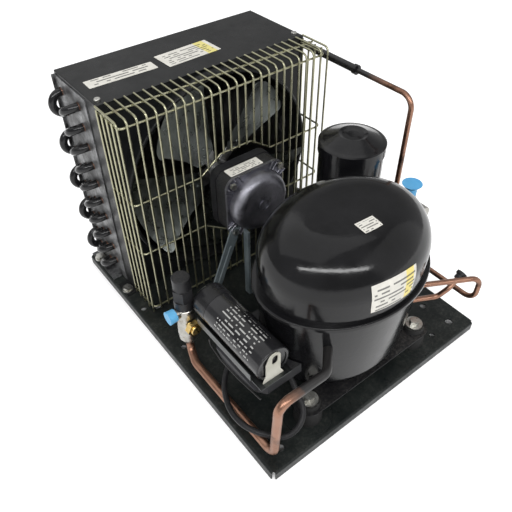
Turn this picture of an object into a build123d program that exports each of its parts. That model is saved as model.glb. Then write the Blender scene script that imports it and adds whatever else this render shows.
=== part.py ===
from build123d import *
import math
import os

os.makedirs("parts", exist_ok=True)

# Base pan: folded sheet with its flanges turned down, origin at the centre of the sheet's underside
base_width = 324.0
base_depth = 414.0
sheet = 1.5
flange_depth = 12.7
flange_bend = 2.6
corner_notch = 3.5
mounting_spacing_x = 274.0
mounting_spacing_y = 250.0
mounting_centre_y = -62.5
mounting_hole = 8.5
wide_service_hole = 8.0
narrow_service_hole = 6.5
pad_diameter = 54.0
pad_height = 1.5
deck = sheet

# Compressor: two drawn elliptical shells on a pair of foot straps
compressor_x = -6.4
compressor_y = -125.3
foot_spacing_x = 165.1
foot_spacing_y = 101.6
shell_wall = 3.0
shell_base_height = 24.3
shell_joint_height = 138.8
shell_top_height = 214.3
shell_foot_a = 88.0
shell_foot_b = 68.0
shell_waist_a = 96.0
shell_waist_b = 76.0
shell_crown_a = 94.6
shell_crown_b = 77.4
lip_a = 101.0
lip_b = 81.0
lip_thickness = 4.0
lip_round = 1.5
shell_foot_round = 20.0
shell_crown_round = 46.0
strap_thickness = 2.3
strap_width = 32.0
strap_length = 199.0
stub_clearance = 0.1

# Rubber mounts and their bolts
grommet_diameter = 32.0
grommet_top_diameter = 26.0
grommet_neck = 17.6
mount_bolt = 6.0
mount_bolt_head = 10.0
mount_washer = 20.0
rubber_clearance = 0.1

# Condenser housing and coil
housing_width = 275.7
housing_x = -5.75
housing_front = 101.3
housing_back = 206.3
housing_height = 271.6
housing_sheet = 1.2
housing_cheek = 27.0
side_flange = 15.0
row_pitch = 25.4
column_pitch = 22.0
rows = 10
tube_diameter = 9.52
front_column_y = 151.1
top_row_height = 250.6
fin_edge = 11.0
fin_pitch = 4.2
fin_gap = 2.9
fin_comb_depth = 5.4
fin_ground_clearance = 0.8
tube_overhang = 0.8
expanded_fit = 0.05

# Fan, its collar and its guard
axis_height = 138.3
collar_inner = 254.0
collar_outer = 262.8
collar_reach = 16.7
fan_diameter = 242.0
fan_plane_y = 97.0
blade_count = 5
blade_thickness = 1.0
blade_pitch = 19.0
blade_camber_radius = 160.0
hub_diameter = 26.0
hub_length = 14.0
spider_diameter = 96.0
spider_thickness = 1.6
wire = 2.4
guard_front_y = 54.7
guard_left_x = -145.6
guard_right_x = 129.6
guard_wires = 26
guard_bottom_height = 4.0
guard_bend = 6.0
loop_height = 169.8
loop_drop = 72.0
notch_half_width = 51.0
notch_flat = 21.5
notch_rise = 20.5

# Fan motor
motor_size = 82.0
motor_corner = 14.0
motor_front_y = 20.6
stack_length = 19.0
rear_cap_length = 15.0
front_dome_reach = 17.0
front_dome_diameter = 76.0
leg_sheet = 2.0
leg_width = 14.0
leg_spread = 44.0
foot_reach = 22.0
motor_screw_spacing = 67.0
rotor_diameter = 40.0
shaft_diameter = 6.35
air_gap = 0.3
shaft_clearance = 0.05
bearing_diameter = 16.0

# Start capacitor on its tray above the terminal cover
capacitor_x = -121.0
capacitor_height = 97.2
capacitor_diameter = 40.6
capacitor_front_y = -155.1
capacitor_length = 114.4
boot_length = 24.0
tray_sheet = 1.2
tray_lip = 9.5
seat_gap = 0.3
cover_outer_x = -141.0
cover_front_y = -160.0
cover_back_y = -75.0
cover_bottom_height = 45.0

# Receiver and refrigerant lines
receiver_x = 101.0
receiver_y = -25.0
receiver_diameter = 76.2
receiver_rim_height = 198.3
receiver_wall = 2.0
receiver_ear = 46.0
suction_diameter = 9.52
discharge_diameter = 6.35
suction_valve_x = -143.5
suction_valve_y = -29.0
liquid_valve_x = 143.0
liquid_valve_y = -88.0
riser_y = -62.0
low_header_x = 155.0
cord_diameter = 6.4

# Values worked out from those above
left = -base_width / 2
right = base_width / 2
front = -base_depth / 2
housing_left = housing_x - housing_width / 2
housing_right = housing_x + housing_width / 2
housing_top = deck + housing_height
axis_z = deck + axis_height
compressor_mounts = GridLocations(foot_spacing_x, foot_spacing_y, 2, 2)
pad_top = deck + pad_height
shell_base = deck + shell_base_height
shell_joint = deck + shell_joint_height
shell_top = deck + shell_top_height
capacitor_radius = capacitor_diameter / 2
capacitor_z = deck + capacitor_height
capacitor_back_y = capacitor_front_y + capacitor_length
tray_top = capacitor_z - capacitor_radius - seat_gap
cover_top = tray_top - tray_sheet - seat_gap
receiver_radius = receiver_diameter / 2
left_plate_face = housing_left - housing_sheet
right_plate_face = housing_right + housing_sheet
leg_y = motor_front_y - seat_gap
foot_x = motor_screw_spacing / 2 + leg_spread
foot_bolt_y = leg_y - leg_sheet + foot_reach * 0.64
housing_bolt_spots = [
    (housing_left - 9.0, housing_front + 10.7),
    (housing_left - 10.0, housing_back - 16.0),
    (housing_right + 9.0, housing_front + 10.7),
    (housing_right + 10.0, housing_back - 16.0),
]
bracket_bolt_spots = [(housing_x - foot_x, foot_bolt_y), (housing_x + foot_x, foot_bolt_y)]
receiver_bolt_spots = [(receiver_x - receiver_ear, receiver_y), (receiver_x + receiver_ear, receiver_y)]
hood_screw_spots = [(housing_left + 6.5, housing_front + 10.2), (housing_right - 6.5, housing_front + 10.2)]
column_y = [front_column_y + column_pitch * column for column in range(3)]


def compressor_plane(z):
    """A level plane with its origin on the compressor's own axis."""
    return Plane(origin=(compressor_x, compressor_y, z))


def upright(x, y, z):
    """A level plane with its origin at a point."""
    return Plane(origin=(x, y, z))


def facing_front(x, y, z):
    """A plane across the fan axis whose normal points to the front, with sketch x to the right and y up."""
    return Plane(origin=(x, y, z), x_dir=(1, 0, 0), z_dir=(0, -1, 0))


def facing_left(x, y, z):
    """A plane whose normal points to the left."""
    return Plane(origin=(x, y, z), x_dir=(0, -1, 0), z_dir=(-1, 0, 0))


def round_bar(start, end, diameter):
    """A straight round bar between two points."""
    run = Vector(*end) - Vector(*start)
    with BuildPart() as bar:
        with BuildSketch(Plane(origin=start, z_dir=run)):
            Circle(diameter / 2)
        extrude(amount=run.length)
    return bar


def bent_bar(route, radii, diameter):
    """A round bar or tube along straight runs joined by tangent arcs."""
    with BuildPart() as bar:
        with BuildLine() as path:
            FilletPolyline(*route, radius=radii)
        with BuildSketch(Plane(origin=path.line @ 0, z_dir=path.line % 0)):
            Circle(diameter / 2)
        sweep(path=path.line)
    return bar


def shell_side(height, angle, inset=0.0):
    """The point on the lower shell's outside at a height above the deck and an angle round its axis."""
    share = (height - shell_base_height) / (shell_joint_height - shell_base_height)
    a = shell_foot_a + (shell_waist_a - shell_foot_a) * share - inset
    b = shell_foot_b + (shell_waist_b - shell_foot_b) * share - inset
    turn = math.radians(angle)
    return (compressor_x + a * math.cos(turn), compressor_y + b * math.sin(turn), deck + height)


# Base pan
with BuildPart() as base_plate:
    with BuildSketch(Plane.XY.offset(deck - flange_depth)):
        Rectangle(base_width, base_depth)
    extrude(amount=flange_depth)
    fillet(base_plate.faces().sort_by(Axis.Z)[-1].edges(), flange_bend)
    with BuildSketch(Plane.XY.offset(deck - flange_depth)):
        Rectangle(base_width - 2 * sheet, base_depth - 2 * sheet)
    extrude(amount=flange_depth - sheet, mode=Mode.SUBTRACT)
    with BuildSketch(Plane.XY.offset(deck - flange_depth)):
        with GridLocations(base_width, base_depth, 2, 2):
            Rectangle(2 * corner_notch, 2 * corner_notch)
    extrude(amount=flange_depth, mode=Mode.SUBTRACT)
    with BuildSketch(compressor_plane(deck)):
        with compressor_mounts:
            Circle(pad_diameter / 2)
    extrude(amount=pad_height, taper=20)
    with BuildSketch(compressor_plane(0)):
        with compressor_mounts:
            Circle(pad_diameter / 2 - sheet)
    extrude(amount=pad_height, taper=20, mode=Mode.SUBTRACT)
    with BuildSketch(compressor_plane(0)):
        with compressor_mounts:
            Circle(mount_bolt / 2 + stub_clearance)
    extrude(amount=pad_top, mode=Mode.SUBTRACT)
    with BuildSketch(upright(0, mounting_centre_y, 0)):
        with GridLocations(mounting_spacing_x, mounting_spacing_y, 2, 2):
            Circle(mounting_hole / 2)
    extrude(amount=sheet, mode=Mode.SUBTRACT)
    with BuildSketch(Plane.XY):
        with Locations((131.8, -150.5)):
            Circle(wide_service_hole / 2)
        with Locations((103.6, -188.5), (-145.4, -14.1), (-141.0, -85.5), (-153.0, 69.7)):
            Circle(narrow_service_hole / 2)
        with Locations(*housing_bolt_spots, *bracket_bolt_spots, *receiver_bolt_spots):
            Circle(mount_bolt / 2)
    extrude(amount=sheet, mode=Mode.SUBTRACT)

# Compressor mounts
strap_z = shell_base - strap_thickness
with BuildPart() as compressor_feet:
    with BuildSketch(compressor_plane(strap_z)):
        with GridLocations(0, foot_spacing_y, 1, 2):
            SlotOverall(strap_length, strap_width)
        with compressor_mounts:
            Circle(grommet_neck / 2 + rubber_clearance, mode=Mode.SUBTRACT)
    extrude(amount=strap_thickness)

grommet_top = shell_base + 6.0
with BuildPart() as compressor_grommets:
    with BuildSketch(compressor_plane(pad_top)):
        with compressor_mounts:
            Circle(grommet_diameter / 2)
    extrude(amount=strap_z - rubber_clearance - pad_top, taper=4)
    with BuildSketch(compressor_plane(strap_z - rubber_clearance)):
        with compressor_mounts:
            Circle(grommet_neck / 2)
    extrude(amount=strap_thickness + 2 * rubber_clearance)
    with BuildSketch(compressor_plane(shell_base + rubber_clearance)):
        with compressor_mounts:
            Circle(grommet_top_diameter / 2)
    extrude(amount=grommet_top - shell_base - rubber_clearance, taper=12)
    with BuildSketch(compressor_plane(pad_top)):
        with compressor_mounts:
            Circle(mount_bolt / 2 + stub_clearance)
    extrude(amount=grommet_top - pad_top, mode=Mode.SUBTRACT)

washer_z = grommet_top + seat_gap
washer_thickness = 1.6
bolt_head_z = washer_z + washer_thickness
nut_height = 5.0
with BuildPart() as compressor_bolts:
    with BuildSketch(compressor_plane(washer_z)):
        with compressor_mounts:
            Circle(mount_washer / 2)
    extrude(amount=washer_thickness)
    with BuildSketch(compressor_plane(bolt_head_z)):
        with compressor_mounts:
            RegularPolygon(mount_bolt_head / 2, 6, major_radius=False)
    extrude(amount=5.2)
    with BuildSketch(compressor_plane(-nut_height - 2.0)):
        with compressor_mounts:
            Circle(mount_bolt / 2)
    extrude(amount=bolt_head_z + nut_height + 2.0)

with BuildPart() as compressor_nuts:
    with BuildSketch(compressor_plane(pad_height - nut_height)):
        with compressor_mounts:
            RegularPolygon(mount_bolt_head / 2, 6, major_radius=False)
            Circle(mount_bolt / 2 + stub_clearance, mode=Mode.SUBTRACT)
    extrude(amount=nut_height)

# Refrigerant stubs where they pass the lower shell
suction_height = 105.3
suction_angle = 226.0
discharge_height = 82.3
discharge_angle = -29.0
process_height = 54.3
process_angle = -27.0


def stub_cut(height, angle, diameter):
    """A bar through the lower shell's wall, square to the shell, a little larger than its stub."""
    inner = shell_side(height, angle, 2.5 * shell_wall)
    outer = shell_side(height, angle, -2.5 * shell_wall)
    return round_bar(inner, outer, diameter + 2 * stub_clearance)


discharge_corner = shell_side(discharge_height, discharge_angle, -85.6)
header_x = discharge_corner[0]


def drawn_cup(low_z, low_a, low_b, high_z, high_a, high_b):
    """The solid between two ellipses on the compressor's axis."""
    with BuildPart() as cup:
        with BuildSketch(compressor_plane(low_z)):
            Ellipse(low_a, low_b)
        with BuildSketch(compressor_plane(high_z)):
            Ellipse(high_a, high_b)
        loft(ruled=True)
    return cup


lower_outside = drawn_cup(shell_base, shell_foot_a, shell_foot_b, shell_joint, shell_waist_a, shell_waist_b)
lower_inside = drawn_cup(
    shell_base + shell_wall,
    shell_foot_a - shell_wall,
    shell_foot_b - shell_wall,
    shell_joint,
    shell_waist_a - shell_wall,
    shell_waist_b - shell_wall,
)
with BuildPart() as compressor_lower_shell:
    add(lower_outside.part)
    fillet(compressor_lower_shell.edges().group_by(Axis.Z)[0], shell_foot_round)
    with BuildSketch(compressor_plane(shell_joint)):
        Ellipse(lip_a - 1.5, lip_b - 1.5)
    extrude(amount=-shell_wall)
    with BuildPart(mode=Mode.PRIVATE) as lower_cavity:
        add(lower_inside.part)
        fillet(lower_cavity.edges().group_by(Axis.Z)[0], shell_foot_round - shell_wall)
    add(lower_cavity.part, mode=Mode.SUBTRACT)
    add(stub_cut(suction_height, suction_angle, suction_diameter).part, mode=Mode.SUBTRACT)
    add(stub_cut(discharge_height, discharge_angle, discharge_diameter).part, mode=Mode.SUBTRACT)
    add(stub_cut(process_height, process_angle, discharge_diameter).part, mode=Mode.SUBTRACT)

with BuildPart() as compressor_upper_shell:
    with BuildSketch(compressor_plane(shell_joint)):
        Ellipse(shell_crown_a, shell_crown_b)
    extrude(amount=shell_top - shell_joint)
    fillet(compressor_upper_shell.edges().group_by(Axis.Z)[-1], shell_crown_round)
    with BuildSketch(compressor_plane(shell_joint)):
        Ellipse(lip_a, lip_b)
    extrude(amount=lip_thickness)
    lip_top = shell_joint + lip_thickness
    lip_edges = compressor_upper_shell.edges().filter_by(lambda edge: abs(edge.center().Z - lip_top) < 0.01)
    fillet(lip_edges.sort_by(SortBy.LENGTH)[-1], lip_round)
    with BuildPart(mode=Mode.PRIVATE) as upper_cavity:
        with BuildSketch(compressor_plane(shell_joint)):
            Ellipse(shell_crown_a - shell_wall, shell_crown_b - shell_wall)
        extrude(amount=shell_top - shell_wall - shell_joint)
        fillet(upper_cavity.edges().group_by(Axis.Z)[-1], shell_crown_round - shell_wall)
    add(upper_cavity.part, mode=Mode.SUBTRACT)

# Sealed inside of the compressor: motor below, pump above, on springs
stator_outer = 122.0
stator_bore = 64.0
stator_low = shell_base + 26.0
stator_length = 42.0
winding_height = 14.0
crank_diameter = 18.0
crank_throw = 9.0
block_low = stator_low + stator_length + winding_height + 3.0
block_height = 40.0
spring_pitch = 52.0
cylinder_bore = 38.0
block_width = 112.0
block_depth = 84.0

with BuildPart() as compressor_stator:
    with BuildSketch(compressor_plane(stator_low)):
        Circle(stator_outer / 2)
        Circle(stator_bore / 2, mode=Mode.SUBTRACT)
    extrude(amount=stator_length)
    for low in (stator_low - winding_height, stator_low + stator_length):
        with BuildSketch(compressor_plane(low)):
            Circle(stator_outer / 2 - 8)
            Circle(stator_bore / 2 + 3, mode=Mode.SUBTRACT)
        extrude(amount=winding_height)

with BuildPart() as compressor_rotor:
    with BuildSketch(compressor_plane(stator_low)):
        Circle(stator_bore / 2 - air_gap)
        Circle(crank_diameter / 2, mode=Mode.SUBTRACT)
    extrude(amount=stator_length)

with BuildPart() as crankshaft:
    with BuildSketch(compressor_plane(stator_low - 4)):
        Circle(crank_diameter / 2)
    extrude(amount=block_low + block_height + 3 - stator_low + 4)
    with BuildSketch(compressor_plane(block_low + block_height + 3)):
        Circle(crank_diameter / 2 + 8)
    extrude(amount=6)
    with BuildSketch(compressor_plane(block_low + block_height + 9)):
        with Locations((crank_throw, 0)):
            Circle(crank_diameter / 2 - 2)
    extrude(amount=14)

with BuildPart() as compressor_block:
    with BuildSketch(compressor_plane(block_low)):
        RectangleRounded(block_width, block_depth, 16)
    extrude(amount=block_height)
    with BuildSketch(compressor_plane(block_low)):
        Circle(crank_diameter / 2 + shaft_clearance)
    extrude(amount=block_height, mode=Mode.SUBTRACT)
    cylinder_origin = (compressor_x + block_width / 2, compressor_y, block_low + block_height / 2)
    with BuildSketch(Plane(origin=cylinder_origin, z_dir=(1, 0, 0))):
        RectangleRounded(cylinder_bore + 10, block_height - 2, 6)
    extrude(amount=14)

with BuildPart() as compressor_springs:
    with BuildSketch(compressor_plane(shell_base + shell_wall)):
        with GridLocations(spring_pitch, spring_pitch * 0.7, 2, 2):
            Circle(6.5)
            Circle(4.5, mode=Mode.SUBTRACT)
    extrude(amount=stator_low - winding_height - seat_gap - shell_base - shell_wall)

def smooth_radii(route):
    """Arc radii for a cord's route: 0.45 of the shorter run over the tangent of half the turn."""
    radii = []
    for before, point, after in zip(route, route[1:], route[2:]):
        first = Vector(*point) - Vector(*before)
        second = Vector(*after) - Vector(*point)
        half_turn = math.radians(first.get_angle(second)) / 2
        radii.append(0.45 * min(first.length, second.length) / math.tan(half_turn))
    return radii


# Cord route: out of the terminal cover, round the near corner over the suction tube, and back
cord_route = [
    (-97.5, -96.0, deck + 55.3),
    (-107.5, -89.5, deck + 47.8),
    (-118.0, -86.5, deck + 39.3),
    (-129.0, -88.0, deck + 31.3),
    (-139.0, -94.0, deck + 25.3),
    (-147.5, -103.5, deck + 22.3),
    (-154.0, -115.5, deck + 21.3),
    (-158.5, -128.0, deck + 21.3),
    (-160.0, -141.0, deck + 21.3),
    (-158.5, -154.0, deck + 21.3),
    (-153.5, -166.5, deck + 21.3),
    (-145.5, -177.5, deck + 20.2),
    (-137.0, -186.0, deck + 17.0),
    (-126.7, -190.6, deck + 18.3),
    (-116.1, -191.2, deck + 22.5),
    (-107.2, -187.8, deck + 28.7),
    (-101.7, -180.9, deck + 35.9),
    (-100.5, -171.8, deck + 42.7),
    (-98.9, -162.8, deck + 49.7),
    (-98.2, -151.5, deck + 60.0),
]

cord_radii = smooth_radii(cord_route)
print("cord radii in diameters:", [round(radius / cord_diameter, 1) for radius in cord_radii])

# Terminal cover on the shell's left side, with its wire clip
cover_z = deck + cover_bottom_height
cover_inner_x = -78.0
cover_slope = 16.0
cover_edge = 9.0
shell_relief = drawn_cup(
    shell_base - 30,
    shell_foot_a + 0.4,
    shell_foot_b + 0.4,
    shell_joint,
    shell_waist_a + 0.4,
    shell_waist_b + 0.4,
)
with BuildPart() as terminal_cover:
    with BuildSketch(facing_left(cover_inner_x, 0, 0)):
        with BuildLine():
            Polyline(
                (-cover_back_y + cover_slope, cover_z),
                (-cover_front_y - cover_slope, cover_z),
                (-cover_front_y, cover_z + cover_slope),
                (-cover_front_y, cover_top),
                (-cover_back_y, cover_top),
                (-cover_back_y, cover_z + cover_slope),
                close=True,
            )
        make_face()
    extrude(amount=cover_inner_x - cover_outer_x)
    chamfer(terminal_cover.faces().sort_by(Axis.X)[0].edges(), cover_edge)
    add(shell_relief.part, mode=Mode.SUBTRACT)
    add(bent_bar(cord_route, cord_radii, cord_diameter + 2 * stub_clearance).part, mode=Mode.SUBTRACT)

clip_x = cover_outer_x - seat_gap - 0.9
cover_clip = bent_bar(
    [
        (clip_x, cover_back_y + 1.6, cover_top - 4),
        (clip_x, cover_back_y + 1.6, deck + 62),
        (clip_x, cover_back_y - 18, deck + 55),
        (clip_x, cover_front_y + 38, deck + 56),
        (clip_x, cover_front_y - 1.6, deck + 64),
    ],
    [8.0, 12.0, 20.0],
    1.8,
)

# Start capacitor, tray and insulating tab
with BuildPart() as capacitor_tray:
    with BuildSketch(upright(capacitor_x, 0, tray_top - tray_sheet)):
        with Locations((0, (capacitor_front_y + capacitor_back_y) / 2 - 8)):
            Rectangle(2 * (capacitor_radius - 0.6), capacitor_length - 4)
    extrude(amount=tray_sheet)
    with BuildSketch(upright(capacitor_x - capacitor_radius + 0.6, 0, tray_top - tray_sheet)):
        with Locations((-tray_sheet / 2, (capacitor_front_y + capacitor_back_y) / 2)):
            Rectangle(tray_sheet, capacitor_length - 20)
    extrude(amount=tray_lip)

with BuildPart() as start_capacitor:
    with BuildSketch(facing_front(capacitor_x, capacitor_back_y - boot_length, capacitor_z)):
        Circle(capacitor_radius)
    extrude(amount=capacitor_length - boot_length)
    fillet(start_capacitor.faces().sort_by(Axis.Y)[0].edges(), 1.5)
    with BuildSketch(facing_front(capacitor_x, capacitor_front_y, capacitor_z)):
        Circle(capacitor_radius - 3.5)
    extrude(amount=-1.2, mode=Mode.SUBTRACT)

with BuildPart() as capacitor_boot:
    with BuildSketch(facing_front(capacitor_x, capacitor_back_y, capacitor_z)):
        Circle(capacitor_radius + seat_gap / 2)
    extrude(amount=boot_length - seat_gap)
    fillet(capacitor_boot.faces().sort_by(Axis.Y)[-1].edges(), 6.0)

tab_width = 25.0
tab_height = 38.0
with BuildPart() as capacitor_tab:
    with BuildSketch(facing_front(capacitor_x, capacitor_front_y - seat_gap, tray_top)):
        with BuildLine():
            Polyline((-tab_width / 2 - 1, 0), (tab_width / 2, 0), (tab_width / 2 - 3, 6), (8, 9),
                     (8, tab_height - 6))
            ThreePointArc((8, tab_height - 6), (1, tab_height), (-6, tab_height - 3))
            Polyline((-6, tab_height - 3), (-10, tab_height - 12), (-10, 9), (-tab_width / 2 - 1, 0))
        make_face()
        with Locations((1, tab_height - 10)):
            SlotOverall(13.0, 7.4, rotation=90, mode=Mode.SUBTRACT)
    extrude(amount=1.2)

# Condenser housing
with BuildPart() as condenser_hood:
    with BuildSketch(upright(housing_x, (housing_front + housing_back) / 2, housing_top - housing_sheet)):
        Rectangle(housing_width, housing_back - housing_front)
    extrude(amount=housing_sheet)
    for side in (-1, 1):
        face_x = housing_x + side * (housing_width - housing_sheet) / 2
        with BuildSketch(upright(face_x, housing_front + housing_cheek / 2, deck)):
            Rectangle(housing_sheet, housing_cheek)
        extrude(amount=housing_height - housing_sheet)
        with BuildSketch(upright(face_x + side * side_flange / 2, housing_front + housing_cheek / 2, deck)):
            Rectangle(side_flange + housing_sheet, housing_cheek)
        extrude(amount=housing_sheet)
        with BuildSketch(upright(face_x, (housing_front + housing_cheek + housing_back) / 2,
                                 housing_top - housing_sheet - 8)):
            Rectangle(housing_sheet, housing_back - housing_front - housing_cheek)
        extrude(amount=8)
    fillet(condenser_hood.edges().filter_by(Axis.Y).group_by(Axis.Z)[-1], 1.1)
    with BuildSketch(Plane.XY.offset(deck)):
        with Locations(*housing_bolt_spots):
            Circle(mount_bolt / 2)
    extrude(amount=housing_sheet, mode=Mode.SUBTRACT)
    with BuildSketch(Plane.XY.offset(housing_top)):
        with Locations(*hood_screw_spots):
            Circle(1.5 + stub_clearance)
    extrude(amount=-housing_sheet, mode=Mode.SUBTRACT)

panel_middle_z = (deck + housing_top - housing_sheet) / 2
with BuildPart() as fan_shroud:
    with BuildSketch(facing_front(housing_x, housing_front + housing_sheet, panel_middle_z)):
        Rectangle(housing_width - 2 * housing_sheet - 0.4, housing_height - housing_sheet - 0.4)
        with Locations((0, axis_z - panel_middle_z)):
            Circle(collar_inner / 2, mode=Mode.SUBTRACT)
    extrude(amount=housing_sheet)
    with BuildSketch(facing_front(housing_x, housing_front, axis_z)):
        Circle(collar_outer / 2)
        Circle(collar_inner / 2, mode=Mode.SUBTRACT)
    extrude(amount=collar_reach)
    fillet(fan_shroud.faces().sort_by(Axis.Y)[0].edges(), 1.8)
    with BuildSketch(facing_front(housing_x, housing_front + housing_sheet, axis_z)):
        Circle(collar_outer / 2 - housing_sheet)
        Circle(collar_inner / 2 + housing_sheet, mode=Mode.SUBTRACT)
    extrude(amount=collar_reach - 1, mode=Mode.SUBTRACT)

# Coil: end plates, fin pack, tubes and return bends
plate_front = housing_front + housing_cheek + 0.4
plate_height = housing_height - 4.0
rear_flange = 4.5


def tube_points():
    """The centre of every tube in a plane across the coil, as y and z."""
    spots = []
    for column, y in enumerate(column_y):
        drop = row_pitch / 2 if column == 1 else 0.0
        for row in range(rows):
            spots.append((y, deck + top_row_height - drop - row_pitch * row))
    return spots


def tube_centre(column, row):
    """One tube's centre as y and z, with column 0 at the front and row 0 at the top."""
    return tube_points()[column * rows + row]


def end_plate(side):
    """A coil end plate with a rear and a bottom flange turned outward."""
    face = housing_x + side * housing_width / 2
    with BuildPart() as plate:
        with BuildSketch(Plane(origin=(face, 0, 0), x_dir=(0, 1, 0), z_dir=(1, 0, 0))):
            with Locations(((plate_front + housing_back) / 2, deck + plate_height / 2)):
                Rectangle(housing_back - plate_front, plate_height)
            with Locations(*tube_points()):
                Circle(tube_diameter / 2 + 0.4, mode=Mode.SUBTRACT)
        extrude(amount=side * housing_sheet)
        with BuildSketch(upright(face + side * rear_flange / 2, housing_back - housing_sheet / 2, deck)):
            Rectangle(rear_flange, housing_sheet)
        extrude(amount=plate_height)
        with BuildSketch(upright(face + side * side_flange / 2, (plate_front + 12 + housing_back) / 2, deck)):
            Rectangle(side_flange, housing_back - plate_front - 12)
        extrude(amount=housing_sheet)
        with BuildSketch(Plane.XY.offset(deck)):
            with Locations(*housing_bolt_spots):
                Circle(mount_bolt / 2)
        extrude(amount=housing_sheet, mode=Mode.SUBTRACT)
    return plate


coil_end_plate_left = end_plate(-1)
coil_end_plate_right = end_plate(1)

fin_front = column_y[0] - fin_edge
fin_back = column_y[2] + fin_edge
fin_low = deck + fin_ground_clearance
fin_high = deck + top_row_height + row_pitch / 2
fin_left = housing_left + housing_sheet + seat_gap
fin_right = housing_right - housing_sheet - seat_gap
fin_count = int((fin_right - fin_left) / fin_pitch)
with BuildPart() as fin_pack:
    with BuildSketch(upright((fin_left + fin_right) / 2, (fin_front + fin_back) / 2, fin_low)):
        Rectangle(fin_right - fin_left, fin_back - fin_front)
        with GridLocations(fin_pitch, fin_back - fin_front - fin_comb_depth, fin_count, 2):
            Rectangle(fin_gap, fin_comb_depth, mode=Mode.SUBTRACT)
    extrude(amount=fin_high - fin_low)
    with BuildSketch(Plane(origin=(fin_left, 0, 0), x_dir=(0, 1, 0), z_dir=(1, 0, 0))):
        with Locations(*tube_points()):
            Circle(tube_diameter / 2 + expanded_fit)
    extrude(amount=fin_right - fin_left, mode=Mode.SUBTRACT)

tube_left = left_plate_face - tube_overhang
tube_right = right_plate_face + tube_overhang
with BuildPart() as coil_tubes:
    with BuildSketch(Plane(origin=(tube_left, 0, 0), x_dir=(0, 1, 0), z_dir=(1, 0, 0))):
        with Locations(*tube_points()):
            Circle(tube_diameter / 2)
    extrude(amount=tube_right - tube_left)


def return_bends(x, side, pairs):
    """Half-turn bends outside an end plate, one for each pair of tubes."""
    with BuildPart() as bends:
        for first, second in pairs:
            y0, z0 = tube_centre(*first)
            y1, z1 = tube_centre(*second)
            with BuildSketch(Plane(origin=(x, y0, z0), x_dir=(0, 1, 0), z_dir=(side, 0, 0))):
                Circle(tube_diameter / 2)
            middle = Vector(x, (y0 + y1) / 2, (z0 + z1) / 2)
            along = Vector(0, z0 - z1, y1 - y0) * side
            revolve(axis=Axis(middle, along), revolution_arc=180)
    return bends


left_pairs = [((2, row), (2, row + 1)) for row in range(0, rows, 2)]
left_pairs += [((0, row), (1, row)) for row in range(rows)]
right_pairs = [((2, row), (2, row + 1)) for row in range(1, rows - 1, 2)]
right_pairs += [((1, row), (0, row + 1)) for row in range(rows - 1)]
return_bends_left = return_bends(tube_left, -1, left_pairs)
return_bends_right = return_bends(tube_right, 1, right_pairs)

top_row_z = deck + top_row_height
low_row_z = tube_centre(2, rows - 1)[1]
header_joint_y = 22.0
with BuildPart() as inlet_header:
    add(bent_bar([(header_x, header_joint_y, top_row_z), (header_x, column_y[2], top_row_z),
                  (tube_right, column_y[2], top_row_z)], [12.0], tube_diameter).part)
    add(round_bar((tube_right, column_y[0], top_row_z), (header_x, column_y[0], top_row_z),
                  tube_diameter - stub_clearance).part)
    add(round_bar((header_x, header_joint_y + 1, top_row_z), (header_x, header_joint_y + 6, top_row_z),
                  tube_diameter + 2.4).part)

header_rise_y = 140.0
receiver_inlet_y = receiver_y + receiver_radius + 16
receiver_inlet_z = deck + 32.5
with BuildPart() as outlet_header:
    add(bent_bar([(tube_right, column_y[1], low_row_z - row_pitch / 2),
                  (low_header_x, column_y[1], low_row_z - row_pitch / 2),
                  (low_header_x, header_rise_y, low_row_z - row_pitch / 2),
                  (low_header_x, receiver_inlet_y, receiver_inlet_z),
                  (receiver_x, receiver_inlet_y, receiver_inlet_z),
                  (receiver_x, receiver_y + receiver_radius - receiver_wall, receiver_inlet_z)],
                 [12.0, 30.0, 14.0, 9.0], tube_diameter).part)
    add(bent_bar([(tube_right, column_y[2], low_row_z), (low_header_x - 6, column_y[2], low_row_z),
                  (low_header_x - 6, column_y[1], low_row_z - row_pitch / 2)], [9.0], tube_diameter).part)

# Receiver
liquid_outlet_z = deck + 90.0
with BuildPart() as receiver:
    with BuildSketch(Plane(origin=(receiver_x, receiver_y, deck), x_dir=(1, 0, 0), z_dir=(0, -1, 0))):
        with BuildLine():
            Polyline((0, 12), (26, 8))
            TangentArc((26, 8), (receiver_radius, 20), tangent=(1, -0.05))
            Polyline((receiver_radius, 20), (receiver_radius, receiver_rim_height - 14),
                     (receiver_radius + 1.5, receiver_rim_height - 13),
                     (receiver_radius + 1.5, receiver_rim_height - 1),
                     (receiver_radius, receiver_rim_height), (receiver_radius - 4, receiver_rim_height + 1),
                     (17, receiver_rim_height + 9), (13, receiver_rim_height + 7.5),
                     (7, receiver_rim_height + 8), (0, receiver_rim_height + 8), (0, 12))
        make_face()
    revolve(axis=Axis((receiver_x, receiver_y, 0), (0, 0, 1)))
    add(round_bar((receiver_x, receiver_y + receiver_radius - receiver_wall - 0.2, receiver_inlet_z),
                  (receiver_x, receiver_y + receiver_radius + 5, receiver_inlet_z),
                  tube_diameter + 2 * stub_clearance).part, mode=Mode.SUBTRACT)
    add(round_bar((receiver_x, receiver_y - receiver_radius + receiver_wall + 0.2, liquid_outlet_z),
                  (receiver_x, receiver_y - receiver_radius - 5, liquid_outlet_z),
                  discharge_diameter + 2 * stub_clearance).part, mode=Mode.SUBTRACT)
    with BuildSketch(upright(receiver_x, receiver_y, deck)):
        SlotOverall(2 * receiver_ear + 24, 34)
        with GridLocations(2 * receiver_ear, 0, 2, 1):
            Circle(mount_bolt / 2 + stub_clearance, mode=Mode.SUBTRACT)
    extrude(amount=2.0)
    with BuildSketch(upright(receiver_x, receiver_y, deck)):
        Circle(15)
    extrude(amount=14.0)

fastener_head = 10.0


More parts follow.
